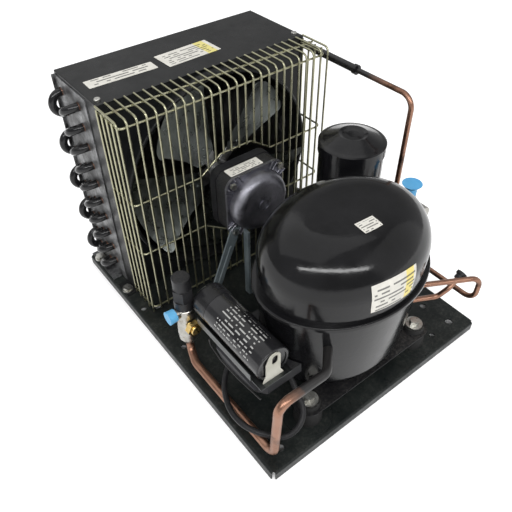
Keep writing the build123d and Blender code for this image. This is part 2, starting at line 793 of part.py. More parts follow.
def flange_bolts(spots, z, shank_down):
    """Hexagon flange bolts with their heads seated at a height."""
    with BuildPart() as bolts:
        with BuildSketch(Plane.XY.offset(z)):
            with Locations(*spots):
                Circle(fastener_head * 0.72)
        extrude(amount=1.4)
        with BuildSketch(Plane.XY.offset(z)):
            with Locations(*spots):
                RegularPolygon(fastener_head / 2, 6, major_radius=False)
        extrude(amount=5.0)
        with BuildSketch(Plane.XY.offset(z - shank_down)):
            with Locations(*spots):
                Circle(mount_bolt / 2 - 0.4)
        extrude(amount=shank_down)
    return bolts


# Refrigerant lines
suction_run_z = deck + 12.3
suction_run_x = -151.0
suction_riser_y = -194.0
suction_z = deck + suction_height
suction_start = shell_side(suction_height, suction_angle, shell_wall)
suction_corner = shell_side(suction_height, suction_angle, -28.2)
suction_front_y = suction_corner[1]
suction_stub_end = (-108.0, suction_front_y, suction_z)
suction_stub = bent_bar([suction_start, suction_corner, suction_stub_end], [14.0], suction_diameter)
suction_socket_z = deck + 27.3
suction_tube = bent_bar(
    [
        suction_stub_end,
        (suction_run_x + 1, suction_front_y, suction_z),
        (suction_run_x, suction_riser_y, suction_run_z),
        (suction_run_x, suction_valve_y - 22, suction_run_z),
        (suction_valve_x, suction_valve_y, suction_run_z),
        (suction_valve_x, suction_valve_y, suction_socket_z + 7),
    ],
    [13.0, 13.0, 30.0, 12.0],
    suction_diameter,
)

discharge_z = deck + discharge_height
discharge_run_z = deck + 44.3
discharge_start = shell_side(discharge_height, discharge_angle, shell_wall)
discharge_line = bent_bar(
    [
        discharge_start,
        discharge_corner,
        (header_x, discharge_corner[1], discharge_run_z),
        (header_x, riser_y, discharge_run_z),
        (header_x, riser_y, top_row_z),
        (header_x, header_joint_y, top_row_z),
    ],
    [13.0, 14.0, 16.0, 16.0],
    discharge_diameter,
)

process_corner = shell_side(process_height, process_angle, -41.7)
process_bend = (120.0, -182.2, deck + 67.3)
process_end = (138.5, -182.6, deck + 79.3)
process_tube = bent_bar(
    [shell_side(process_height, process_angle, shell_wall), process_corner, process_bend, process_end],
    [10.0, 12.0],
    discharge_diameter,
)
process_unit = (Vector(*process_end) - Vector(*process_bend)).normalized()
cap_start = Vector(*process_end) - process_unit * 7.0
with BuildPart() as process_tube_cap:
    with BuildSketch(Plane(origin=cap_start, z_dir=process_unit)):
        Circle(discharge_diameter / 2 + 1.6)
    extrude(amount=9.0)
    with BuildSketch(Plane(origin=cap_start + process_unit * 5.5, z_dir=process_unit)):
        Circle(discharge_diameter / 2 + 3.2)
    extrude(amount=3.5)
    with BuildSketch(Plane(origin=cap_start, z_dir=process_unit)):
        Circle(discharge_diameter / 2 + stub_clearance)
    extrude(amount=7.0, mode=Mode.SUBTRACT)

liquid_z = deck + 110.0
liquid_tube = bent_bar(
    [
        (receiver_x, receiver_y - receiver_radius + receiver_wall, liquid_outlet_z),
        (receiver_x, liquid_valve_y, liquid_outlet_z),
        (liquid_valve_x, liquid_valve_y, liquid_outlet_z),
        (liquid_valve_x, liquid_valve_y, liquid_z + 6),
    ],
    [10.0, 12.0],
    discharge_diameter,
)

# Suction service valve
port_z = deck + 80.5
with BuildPart() as suction_valve_body:
    with BuildSketch(Plane(origin=(suction_valve_x, suction_valve_y, suction_socket_z), x_dir=(1, 0, 0),
                           z_dir=(0, -1, 0))):
        with BuildLine():
            Polyline((0, 0), (6.2, 0), (11, 9), (11.5, 20), (10, 44), (10.5, 50), (10.5, 58), (8.6, 60),
                     (8.6, 74), (0, 74), (0, 0))
        make_face()
    revolve(axis=Axis((suction_valve_x, suction_valve_y, 0), (0, 0, 1)))
    with BuildSketch(facing_left(suction_valve_x, suction_valve_y, port_z)):
        Circle(6.2)
    extrude(amount=13.0)
    with BuildSketch(upright(suction_valve_x, suction_valve_y, suction_socket_z)):
        Circle(suction_diameter / 2 + stub_clearance)
    extrude(amount=8.0, mode=Mode.SUBTRACT)
    with BuildSketch(upright(suction_valve_x, suction_valve_y, suction_socket_z + 74)):
        Rectangle(5.0, 5.0)
    extrude(amount=7.0)
    with BuildSketch(facing_left(suction_valve_x - 4, suction_valve_y, port_z)):
        Circle(3.6)
    extrude(amount=9.0, mode=Mode.SUBTRACT)

with BuildPart() as suction_gauge_nut:
    with BuildSketch(facing_front(suction_valve_x, suction_valve_y - 11.4, suction_socket_z + 35)):
        RegularPolygon(8.2, 6, major_radius=False)
    extrude(amount=7.0)
    with BuildSketch(facing_front(suction_valve_x, suction_valve_y - 18.4, suction_socket_z + 35)):
        Circle(6.0)
    extrude(amount=2.0)
    fillet(suction_gauge_nut.faces().sort_by(Axis.Y)[0].edges(), 1.5)

cap_low_z = suction_socket_z + 60.5
with BuildPart() as suction_valve_cap:
    with BuildSketch(upright(suction_valve_x, suction_valve_y, cap_low_z)):
        Circle(11.4)
    extrude(amount=12.0)
    with BuildSketch(upright(suction_valve_x, suction_valve_y, cap_low_z + 12)):
        RegularPolygon(10.2, 6, major_radius=False)
    extrude(amount=16.0)
    with BuildSketch(upright(suction_valve_x, suction_valve_y, cap_low_z + 28)):
        Circle(10.0)
    extrude(amount=16.0)
    fillet(suction_valve_cap.faces().sort_by(Axis.Z)[-1].edges(), 1.2)
    with BuildSketch(upright(suction_valve_x, suction_valve_y, cap_low_z)):
        Circle(8.6 + 0.3)
    extrude(amount=26.0, mode=Mode.SUBTRACT)

plug_x = suction_valve_x - 13.0
with BuildPart() as suction_port_plug:
    with BuildSketch(Plane(origin=(plug_x, suction_valve_y, port_z), x_dir=(0, 1, 0), z_dir=(-1, 0, 0))):
        Circle(7.4)
    extrude(amount=9.5, taper=-4)
    with BuildSketch(Plane(origin=(plug_x + 1.5, suction_valve_y, port_z), x_dir=(0, 1, 0),
                           z_dir=(-1, 0, 0))):
        Circle(6.2 + 0.3)
    extrude(amount=1.5, mode=Mode.SUBTRACT)
    with BuildSketch(Plane(origin=(plug_x + 7, suction_valve_y, port_z), x_dir=(0, 1, 0),
                           z_dir=(-1, 0, 0))):
        Circle(3.3)
    extrude(amount=8.0)

# Liquid service valve
with BuildPart() as liquid_valve_body:
    with BuildSketch(upright(liquid_valve_x, liquid_valve_y, liquid_z)):
        Circle(8.5)
    extrude(amount=22.0)
    fillet(liquid_valve_body.faces().sort_by(Axis.Z)[0].edges(), 2.5)
    with BuildSketch(upright(liquid_valve_x, liquid_valve_y, liquid_z + 22)):
        Circle(5.6)
    extrude(amount=9.0)
    with BuildSketch(facing_front(liquid_valve_x, liquid_valve_y, liquid_z + 13)):
        Circle(6.5)
    extrude(amount=15.0)
    with BuildSketch(upright(liquid_valve_x, liquid_valve_y, liquid_z)):
        Circle(discharge_diameter / 2 + stub_clearance)
    extrude(amount=7.0, mode=Mode.SUBTRACT)
    with BuildSketch(upright(liquid_valve_x, liquid_valve_y, liquid_z + 24)):
        Circle(3.2)
    extrude(amount=7.0, mode=Mode.SUBTRACT)

with BuildPart() as liquid_valve_cap:
    with BuildSketch(facing_front(liquid_valve_x, liquid_valve_y - 9.5, liquid_z + 13)):
        Circle(9.0)
    extrude(amount=16.0)
    fillet(liquid_valve_cap.faces().sort_by(Axis.Y)[0].edges(), 1.5)
    with BuildSketch(facing_front(liquid_valve_x, liquid_valve_y - 9.5, liquid_z + 13)):
        Circle(6.5 + 0.3)
    extrude(amount=7.0, mode=Mode.SUBTRACT)

with BuildPart() as liquid_port_plug:
    with BuildSketch(upright(liquid_valve_x, liquid_valve_y, liquid_z + 27)):
        Circle(7.0)
    extrude(amount=14.0)
    with BuildSketch(upright(liquid_valve_x, liquid_valve_y, liquid_z + 37)):
        Circle(7.0)
    extrude(amount=6.0, taper=-40)
    with BuildSketch(upright(liquid_valve_x, liquid_valve_y, liquid_z + 27)):
        Circle(5.6 + 0.3)
    extrude(amount=5.0, mode=Mode.SUBTRACT)

# Fan motor, front to back
motor_half = motor_size / 2
stack_back_y = motor_front_y + 3.4 + stack_length
rear_cap_back_y = stack_back_y + rear_cap_length
with BuildPart() as motor_front_cap:
    with BuildSketch(facing_front(housing_x, motor_front_y + 3.4, axis_z)):
        RectangleRounded(motor_size, motor_size, motor_corner)
    extrude(amount=3.4)
    with BuildSketch(facing_front(housing_x, motor_front_y, axis_z)):
        Circle(front_dome_diameter / 2)
    extrude(amount=front_dome_reach)
    fillet(motor_front_cap.faces().sort_by(Axis.Y)[0].edges(), 11.0)
    with BuildSketch(facing_front(housing_x, motor_front_y - front_dome_reach, axis_z)):
        Circle(8.0)
        Circle(5.6, mode=Mode.SUBTRACT)
    extrude(amount=1.6)
    with BuildSketch(facing_front(housing_x, motor_front_y + 3.4, axis_z)):
        Circle(rotor_diameter / 2 + 1)
    extrude(amount=5.0, mode=Mode.SUBTRACT)
    with BuildSketch(facing_front(housing_x, motor_front_y, axis_z)):
        Circle(bearing_diameter / 2 + stub_clearance)
    extrude(amount=8.0, mode=Mode.SUBTRACT)
    with BuildSketch(facing_front(housing_x, motor_front_y + 3.4, axis_z)):
        with GridLocations(motor_screw_spacing, motor_screw_spacing, 2, 2):
            Circle(2.1)
    extrude(amount=3.4, mode=Mode.SUBTRACT)
    with BuildSketch(facing_front(housing_x, motor_front_y, axis_z)):
        with GridLocations(motor_screw_spacing, motor_screw_spacing, 2, 2):
            Circle(6.2)
    extrude(amount=front_dome_reach, mode=Mode.SUBTRACT)

with BuildPart() as motor_stack:
    with BuildSketch(facing_front(housing_x, stack_back_y, axis_z)):
        RectangleRounded(motor_size - 2, motor_size - 2, motor_corner)
        Circle(rotor_diameter / 2 + air_gap, mode=Mode.SUBTRACT)
        with GridLocations(motor_screw_spacing, motor_screw_spacing, 2, 2):
            Circle(2.1, mode=Mode.SUBTRACT)
    extrude(amount=stack_length)

with BuildPart() as motor_rear_cap:
    with BuildSketch(facing_front(housing_x, rear_cap_back_y, axis_z)):
        RectangleRounded(motor_size, motor_size, motor_corner)
    extrude(amount=rear_cap_length)
    fillet(motor_rear_cap.faces().sort_by(Axis.Y)[-1].edges(), 6.0)
    with BuildSketch(facing_front(housing_x, rear_cap_back_y, axis_z)):
        Circle(12.0)
    extrude(amount=-4.0)
    with BuildSketch(facing_front(housing_x, rear_cap_back_y - 5, axis_z)):
        Circle(rotor_diameter / 2 + 1)
    extrude(amount=rear_cap_length - 5, mode=Mode.SUBTRACT)
    with BuildSketch(facing_front(housing_x, rear_cap_back_y + 4, axis_z)):
        Circle(bearing_diameter / 2 + stub_clearance)
    extrude(amount=9.0, mode=Mode.SUBTRACT)
    with BuildSketch(facing_front(housing_x, rear_cap_back_y, axis_z)):
        with GridLocations(motor_screw_spacing, motor_screw_spacing, 2, 2):
            Circle(2.1)
    extrude(amount=rear_cap_length, mode=Mode.SUBTRACT)

with BuildPart() as motor_bearings:
    for low in (motor_front_y, rear_cap_back_y + 4):
        with BuildSketch(facing_front(housing_x, low, axis_z)):
            Circle(bearing_diameter / 2)
            Circle(shaft_diameter / 2 + shaft_clearance, mode=Mode.SUBTRACT)
        extrude(amount=7.0)

with BuildPart() as motor_rotor:
    with BuildSketch(facing_front(housing_x, stack_back_y + 2, axis_z)):
        Circle(rotor_diameter / 2)
        Circle(shaft_diameter / 2, mode=Mode.SUBTRACT)
    extrude(amount=stack_length + 4)

shaft_front = motor_front_y - 7.5
shaft_back = fan_plane_y + 9
with BuildPart() as motor_shaft:
    with BuildSketch(facing_front(housing_x, shaft_back, axis_z)):
        Circle(shaft_diameter / 2)
    extrude(amount=shaft_back - shaft_front)
    chamfer(motor_shaft.edges(), 0.4)

with BuildPart() as motor_screws:
    with BuildSketch(facing_front(housing_x, rear_cap_back_y, axis_z)):
        with GridLocations(motor_screw_spacing, motor_screw_spacing, 2, 2):
            Circle(2.0)
    extrude(amount=rear_cap_back_y - motor_front_y + 1.0)
    with BuildSketch(facing_front(housing_x, motor_front_y - 2.5, axis_z)):
        with GridLocations(motor_screw_spacing, motor_screw_spacing, 2, 2):
            RegularPolygon(3.6, 6, major_radius=False)
    extrude(amount=3.2)

# Motor bracket: two ribbed legs and a narrow strut
def leg(side):
    """One splayed leg with a pressed rib and a foot turned forward."""
    top_x = housing_x + side * motor_screw_spacing / 2
    low_x = housing_x + side * foot_x
    top_z = axis_z - motor_screw_spacing / 2
    run = math.hypot(leg_spread, top_z - deck)
    tilt = side * math.degrees(math.atan2(leg_spread, top_z - deck))
    middle = ((top_x + low_x) / 2, (top_z + deck) / 2)
    with BuildPart() as strip:
        with BuildSketch(facing_front(0, leg_y, 0)):
            with Locations(Location((middle[0], middle[1], 0), (0, 0, tilt))):
                Rectangle(leg_width, run + 12)
            with Locations((low_x, deck - 30)):
                Rectangle(200, 60, mode=Mode.SUBTRACT)
            with Locations((top_x, top_z)):
                Circle(2.3, mode=Mode.SUBTRACT)
        extrude(amount=leg_sheet)
        with BuildSketch(facing_front(0, leg_y - leg_sheet, 0)):
            with Locations(Location((middle[0], middle[1] - 4, 0), (0, 0, tilt))):
                SlotOverall(run * 0.72, 5.0, rotation=90)
        extrude(amount=1.4, taper=20)
        with BuildSketch(upright(low_x, leg_y - leg_sheet + foot_reach / 2, deck)):
            Rectangle(leg_width + 4, foot_reach)
            with Locations((0, foot_bolt_y - leg_y + leg_sheet - foot_reach / 2)):
                Circle(mount_bolt / 2, mode=Mode.SUBTRACT)
        extrude(amount=leg_sheet)
    return strip


strut_x = -29.0
strut_y = 9.0
dome_offset = strut_x + 1.5 - housing_x
strut_height = axis_height - math.sqrt((front_dome_diameter / 2) ** 2 - dome_offset ** 2) - seat_gap
with BuildPart() as motor_bracket:
    add(leg(-1).part)
    add(leg(1).part)
    with BuildSketch(upright(strut_x, strut_y, deck)):
        Rectangle(3.0, 9.0)
    extrude(amount=strut_height)
    with BuildSketch(upright(strut_x + 5, strut_y, deck)):
        Rectangle(13.0, 9.0)
    extrude(amount=2.0)

# Fan
blade_root = 28.0
blade_tip = fan_diameter / 2
with BuildPart() as blade_sheet:
    with BuildSketch(Plane(origin=(blade_root, 0, 0), x_dir=(0, 1, 0), z_dir=(1, 0, 0))):
        with Locations((0, blade_camber_radius)):
            Circle(blade_camber_radius + blade_thickness)
            Circle(blade_camber_radius, mode=Mode.SUBTRACT)
        Rectangle(blade_camber_radius, blade_camber_radius / 2, mode=Mode.INTERSECT)
    extrude(amount=blade_tip - blade_root)
with BuildPart() as blade_outline:
    with BuildSketch(Plane.XY.offset(-blade_tip / 2)):
        with BuildLine():
            Polyline((28, 12), (28, -10), (60, -25), (97, -43))
            ThreePointArc((97, -43), (108, -45.5), (114, -37))
            ThreePointArc((114, -37), (blade_tip, 0), (113, 43))
            ThreePointArc((113, 43), (107, 50), (97, 45))
            Polyline((97, 45), (60, 28), (36, 21), (28, 12))
        make_face()
    extrude(amount=blade_tip)
pitched_sheet = Rot(blade_pitch, 0, 0) * blade_sheet.part
single_blade = pitched_sheet & blade_outline.part
fan_frame = Plane(origin=(housing_x, fan_plane_y, axis_z), x_dir=(1, 0, 0), z_dir=(0, -1, 0))
blade_start = 118.0
with BuildPart() as fan_blades:
    for number in range(blade_count):
        turn = blade_start + 360 / blade_count * number
        add(fan_frame.location * Rot(0, 0, turn) * single_blade)

arm_drop = -blade_thickness - spider_thickness / 2 - stub_clearance
with BuildPart() as fan_hub:
    with BuildSketch(facing_front(housing_x, fan_plane_y + 6, axis_z)):
        Circle(hub_diameter / 2)
    extrude(amount=hub_length)
    with BuildSketch(facing_front(housing_x, fan_plane_y + 6, axis_z)):
        Circle(shaft_diameter / 2 + shaft_clearance)
    extrude(amount=hub_length, mode=Mode.SUBTRACT)
    with BuildPart(mode=Mode.PRIVATE) as arm:
        with BuildSketch(Plane(origin=(hub_diameter / 2 - 2, 0, 0), x_dir=(0, 1, 0), z_dir=(1, 0, 0))):
            Rectangle(22.0, spider_thickness)
        extrude(amount=spider_diameter / 2 - hub_diameter / 2 + 2)
        with BuildSketch(Plane.XY.offset(-20)):
            with Locations((spider_diameter / 4, 0)):
                SlotOverall(spider_diameter / 2, 20.0)
        extrude(amount=40, mode=Mode.INTERSECT)
    for number in range(blade_count):
        turn = blade_start + 360 / blade_count * number
        add(fan_frame.location * Rot(0, 0, turn) * Rot(blade_pitch, 0, 0) * Pos(0, 0, arm_drop) * arm.part)

with BuildPart() as fan_rivets:
    with BuildPart(mode=Mode.PRIVATE) as rivet_pair:
        with BuildSketch(Plane.XY.offset(0.2)):
            with Locations((34, -5), (34, 5), (42, 0)):
                Circle(2.2)
        extrude(amount=1.6, taper=20)
    for number in range(blade_count):
        turn = blade_start + 360 / blade_count * number
        add(fan_frame.location * Rot(0, 0, turn) * Rot(blade_pitch, 0, 0) * rivet_pair.part)

# Fan guard, panel by panel
guard_low = deck + guard_bottom_height
guard_top_z = housing_top + wire / 2 + 0.1
guard_step = (guard_right_x - guard_left_x) / (guard_wires - 1)
guard_rear_y = housing_front - wire / 2 - 0.5
loop_y = guard_front_y + wire
upper_loop_z = deck + loop_height
lower_loop_z = upper_loop_z - loop_drop
side_reach = guard_bend + wire + 1.0
with BuildPart() as guard_front:
    for number in range(guard_wires):
        x = guard_left_x + guard_step * number
        inside = abs(x - housing_x) < notch_half_width
        start_z = upper_loop_z if inside else guard_low
        if inside:
            slope = (notch_half_width - abs(x - housing_x)) / (notch_half_width - notch_flat)
            rise = notch_rise * min(1.0, slope)
            start_z = upper_loop_z + rise
            end_z = lower_loop_z - rise
            add(round_bar((x, guard_front_y, guard_low), (x, guard_front_y, end_z), wire).part)
        add(bent_bar([(x, guard_front_y, start_z), (x, guard_front_y, guard_top_z),
                      (x, guard_front_y + 2 * guard_bend, guard_top_z)], [guard_bend], wire).part)
    for loop_z, rise in ((upper_loop_z, notch_rise), (lower_loop_z, -notch_rise)):
        add(bent_bar([(guard_left_x + side_reach, loop_y, loop_z),
                      (housing_x - notch_half_width, loop_y, loop_z),
                      (housing_x - notch_flat, loop_y, loop_z + rise),
                      (housing_x + notch_flat, loop_y, loop_z + rise),
                      (housing_x + notch_half_width, loop_y, loop_z),
                      (guard_right_x - side_reach, loop_y, loop_z)], [5.0, 5.0, 5.0, 5.0], wire).part)
    for bar_z in (guard_low + wire, guard_top_z - guard_bend - wire):
        add(round_bar((guard_left_x + side_reach, loop_y, bar_z), (guard_right_x - side_reach, loop_y, bar_z),
                      wire).part)

with BuildPart() as guard_top:
    for number in range(guard_wires):
        x = guard_left_x + guard_step * number
        bend_end_y = guard_front_y + 2 * guard_bend
        add(round_bar((x, bend_end_y, guard_top_z), (x, guard_rear_y, guard_top_z), wire).part)
    top_bar_y = housing_front - collar_reach - wire
    top_bar_z = guard_top_z - wire
    add(round_bar((guard_left_x, top_bar_y, top_bar_z), (guard_right_x, top_bar_y, top_bar_z), wire).part)


def guard_side(x, side):
    """The wires on one side: four hoops back to the housing and three uprights."""
    hoop_x = x - side * wire
    with BuildPart() as panel:
        for bar_z in (guard_low + wire, lower_loop_z, upper_loop_z, guard_top_z - guard_bend - wire):
            add(bent_bar([(x - side * side_reach, loop_y, bar_z), (hoop_x, loop_y, bar_z),
                          (hoop_x, guard_rear_y, bar_z)], [guard_bend], wire).part)
        for number in range(1, 5):
            upright_y = min(guard_front_y + guard_step * number, guard_rear_y)
            add(round_bar((x, upright_y, guard_low), (x, upright_y, guard_top_z - 1.6 * wire), wire).part)
    return panel


guard_left = guard_side(guard_left_x, -1)
guard_right = guard_side(guard_right_x, 1)

# Screws and bolts
with BuildPart() as hood_screws:
    with BuildSketch(Plane.XY.offset(housing_top)):
        with Locations(*hood_screw_spots):
            Circle(3.6)
    extrude(amount=2.6)
    fillet(hood_screws.edges().group_by(Axis.Z)[-1], 1.0)
    with BuildSketch(Plane.XY.offset(housing_top)):
        with Locations(*hood_screw_spots):
            Circle(1.5)
    extrude(amount=-8.0)

with BuildPart() as base_bolts:
    add(flange_bolts(housing_bolt_spots, deck + housing_sheet, deck + housing_sheet + 5).part)
    add(flange_bolts(bracket_bolt_spots + receiver_bolt_spots, deck + leg_sheet, deck + leg_sheet + 5).part)

# Cord
cord = bent_bar(cord_route, cord_radii, cord_diameter)

pieces = {
    "base_plate": base_plate,
    "compressor_feet": compressor_feet,
    "compressor_grommets": compressor_grommets,
    "compressor_bolts": compressor_bolts,
    "compressor_nuts": compressor_nuts,
    "compressor_lower_shell": compressor_lower_shell,
    "compressor_upper_shell": compressor_upper_shell,
    "compressor_stator": compressor_stator,
    "compressor_rotor": compressor_rotor,
    "crankshaft": crankshaft,
    "compressor_block": compressor_block,
    "compressor_springs": compressor_springs,
    "terminal_cover": terminal_cover,
    "cover_clip": cover_clip,
    "capacitor_tray": capacitor_tray,
    "start_capacitor": start_capacitor,
    "capacitor_boot": capacitor_boot,
    "capacitor_tab": capacitor_tab,
    "condenser_hood": condenser_hood,
    "fan_shroud": fan_shroud,
    "coil_end_plate_left": coil_end_plate_left,
    "coil_end_plate_right": coil_end_plate_right,
    "fin_pack": fin_pack,
    "coil_tubes": coil_tubes,
    "return_bends_left": return_bends_left,
    "return_bends_right": return_bends_right,
    "inlet_header": inlet_header,
    "outlet_header": outlet_header,
    "receiver": receiver,
    "suction_stub": suction_stub,
    "suction_tube": suction_tube,
    "discharge_line": discharge_line,
    "process_tube": process_tube,
    "process_tube_cap": process_tube_cap,
    "liquid_tube": liquid_tube,
    "suction_valve_body": suction_valve_body,
    "suction_gauge_nut": suction_gauge_nut,
    "suction_valve_cap": suction_valve_cap,
    "suction_port_plug": suction_port_plug,
    "liquid_valve_body": liquid_valve_body,
    "liquid_valve_cap": liquid_valve_cap,
    "liquid_port_plug": liquid_port_plug,
    "motor_front_cap": motor_front_cap,
    "motor_stack": motor_stack,
    "motor_rear_cap": motor_rear_cap,
    "motor_bearings": motor_bearings,
    "motor_rotor": motor_rotor,
    "motor_shaft": motor_shaft,
    "motor_screws": motor_screws,
    "motor_bracket": motor_bracket,
    "fan_blades": fan_blades,
    "fan_hub": fan_hub,
    "fan_rivets": fan_rivets,
    "guard_front": guard_front,
    "guard_top": guard_top,
    "guard_left": guard_left,
    "guard_right": guard_right,
    "hood_screws": hood_screws,
    "base_bolts": base_bolts,
    "power_cord": cord,
}
for name, piece in pieces.items():
    piece.part.label = name
    export_step(piece.part, f"parts/{name}.step")
print(len(pieces), "pieces written")
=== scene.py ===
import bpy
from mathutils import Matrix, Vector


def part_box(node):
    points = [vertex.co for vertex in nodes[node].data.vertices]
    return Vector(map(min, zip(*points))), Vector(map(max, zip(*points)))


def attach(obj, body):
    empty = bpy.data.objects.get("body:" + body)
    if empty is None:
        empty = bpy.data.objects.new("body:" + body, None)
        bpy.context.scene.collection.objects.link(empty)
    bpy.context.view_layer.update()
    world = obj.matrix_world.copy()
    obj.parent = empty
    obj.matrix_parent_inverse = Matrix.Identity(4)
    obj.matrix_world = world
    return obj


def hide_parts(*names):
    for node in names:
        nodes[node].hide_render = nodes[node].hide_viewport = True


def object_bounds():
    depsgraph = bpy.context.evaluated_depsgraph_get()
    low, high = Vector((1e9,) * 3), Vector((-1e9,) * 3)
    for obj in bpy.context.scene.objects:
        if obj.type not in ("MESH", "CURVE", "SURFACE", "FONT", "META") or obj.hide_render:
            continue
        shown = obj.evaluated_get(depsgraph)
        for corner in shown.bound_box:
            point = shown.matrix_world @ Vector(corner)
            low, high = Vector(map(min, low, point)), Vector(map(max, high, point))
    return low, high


bl_info = {
    "name": "Condensing unit",
    "version": (1, 0, 0),
    "blender": (4, 5, 0),
    "location": "3D View > Sidebar > Condensing unit",
    "description": "Dresses the condensing unit: finishes, fins, plates, cord and studio",
    "category": "Add Mesh",
}

import math

import bmesh
import bpy
from mathutils import Matrix, Vector

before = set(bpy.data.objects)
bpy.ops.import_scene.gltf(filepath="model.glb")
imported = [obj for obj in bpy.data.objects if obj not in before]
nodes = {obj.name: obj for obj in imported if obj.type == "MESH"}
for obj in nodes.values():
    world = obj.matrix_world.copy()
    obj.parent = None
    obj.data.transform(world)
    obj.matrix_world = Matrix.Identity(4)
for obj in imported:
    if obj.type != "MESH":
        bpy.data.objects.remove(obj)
cad_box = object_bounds()


# Shader helpers

class Finish:
    """A Principled material that reads object coordinates, with its nodes laid in as they are asked for."""

    def __init__(self, name, metallic=0.0, coat=0.0):
        self.material = bpy.data.materials.new(name)
        self.material.use_nodes = True
        self.tree = self.material.node_tree
        self.shader = self.tree.nodes["Principled BSDF"]
        self.shader.inputs["Metallic"].default_value = metallic
        self.shader.inputs["Coat Weight"].default_value = coat
        if coat:
            self.shader.inputs["Coat Roughness"].default_value = 0.12
        if not metallic:
            self.shader.inputs["Specular IOR Level"].default_value = 0.22
        self.place = self.tree.nodes.new("ShaderNodeTexCoord").outputs["Object"]

    def put(self, socket, value):
        if isinstance(value, bpy.types.NodeSocket):
            self.tree.links.new(value, socket)
        else:
            socket.default_value = value

    def moved(self, centre=(0, 0, 0), turn=(0, 0, 0), scale=(1, 1, 1)):
        """Object coordinates measured from a centre, turned with the piece and scaled."""
        node = self.tree.nodes.new("ShaderNodeMapping")
        node.vector_type = "TEXTURE"
        node.inputs["Location"].default_value = centre
        node.inputs["Rotation"].default_value = turn
        node.inputs["Scale"].default_value = scale
        self.tree.links.new(self.place, node.inputs["Vector"])
        return node.outputs["Vector"]

    def noise(self, scale, detail=4.0, rough=0.55, place=None):
        node = self.tree.nodes.new("ShaderNodeTexNoise")
        node.inputs["Scale"].default_value = scale
        node.inputs["Detail"].default_value = detail
        node.inputs["Roughness"].default_value = rough
        self.tree.links.new(place or self.place, node.inputs["Vector"])
        return node.outputs["Fac"]

    def cells(self, scale):
        node = self.tree.nodes.new("ShaderNodeTexVoronoi")
        node.inputs["Scale"].default_value = scale
        self.tree.links.new(self.place, node.inputs["Vector"])
        return node.outputs["Distance"]

    def range(self, value, low_in, high_in, low_out=0.0, high_out=1.0):
        node = self.tree.nodes.new("ShaderNodeMapRange")
        self.put(node.inputs["Value"], value)
        for name, number in (("From Min", low_in), ("From Max", high_in), ("To Min", low_out), ("To Max", high_out)):
            node.inputs[name].default_value = number
        return node.outputs["Result"]

    def math(self, operation, first, second=0.0):
        node = self.tree.nodes.new("ShaderNodeMath")
        node.operation = operation
        for socket, value in zip(node.inputs, (first, second)):
            self.put(socket, value)
        return node.outputs["Value"]

    def mix(self, factor, first, second):
        node = self.tree.nodes.new("ShaderNodeMix")
        node.data_type = "RGBA"
        self.put(node.inputs["Factor"], factor)
        for socket, value in ((node.inputs[6], first), (node.inputs[7], second)):
            self.put(socket, (*value, 1.0) if isinstance(value, tuple) else value)
        return node.outputs[2]

    def parts(self, vector):
        node = self.tree.nodes.new("ShaderNodeSeparateXYZ")
        self.tree.links.new(vector, node.inputs["Vector"])
        return node.outputs

    def level_faces(self):
        """1 on faces that look up, where dust settles."""
        node = self.tree.nodes.new("ShaderNodeNewGeometry")
        return self.range(self.parts(node.outputs["Normal"])["Z"], 0.75, 0.98)

    def dusted(self, colour, dust, amount, scale=14.0):
        specks = self.range(self.noise(scale * 22, 6.0, 0.7), 0.45, 0.72)
        cloud = self.range(self.noise(scale, 5.0, 0.6), 0.3, 0.75)
        cover = self.math("MULTIPLY", self.math("MULTIPLY", specks, cloud), self.level_faces())
        return self.mix(self.math("MULTIPLY", cover, amount), colour, dust)

    def dashes(self, along, across, thickness, bare_share):
        """1 on short plain dashes: along counts the places in a row, across counts the rows."""
        in_row = self.math("LESS_THAN", self.math("FRACT", across), thickness)
        step = self.tree.nodes.new("ShaderNodeCombineXYZ")
        self.put(step.inputs["X"], self.math("FLOOR", along))
        self.put(step.inputs["Y"], self.math("FLOOR", across))
        scatter = self.tree.nodes.new("ShaderNodeTexWhiteNoise")
        scatter.noise_dimensions = "2D"
        self.put(scatter.inputs["Vector"], step.outputs["Vector"])
        return self.math("MULTIPLY", in_row, self.math("GREATER_THAN", scatter.outputs["Value"], bare_share))

    def colour(self, value):
        self.put(self.shader.inputs["Base Color"], value)

    def roughness(self, value):
        self.put(self.shader.inputs["Roughness"], value)

    def relief(self, height, strength, depth):
        node = self.tree.nodes.new("ShaderNodeBump")
        node.inputs["Strength"].default_value = strength
        node.inputs["Distance"].default_value = depth
        self.tree.links.new(height, node.inputs["Height"])
        self.tree.links.new(node.outputs["Normal"], self.shader.inputs["Normal"])


def paint(name, colour, shade, rough=(0.3, 0.45), grain=900.0, bumps=0.12, dust=0.0, coat=0.0,
          dust_colour=(0.20, 0.19, 0.17)):
    """Sprayed paint or moulded plastic: cloudy tone, fine orange peel and, where asked, settled dust."""
    finish = Finish(name, coat=coat)
    tone = finish.mix(finish.range(finish.noise(28.0), 0.35, 0.68), shade, colour)
    if dust:
        tone = finish.dusted(tone, dust_colour, dust)
    finish.colour(tone)
    finish.roughness(finish.range(finish.noise(60.0, 6.0), 0.3, 0.7, *rough))
    finish.relief(finish.noise(grain, 2.0), bumps, 0.0006)
    return finish.material


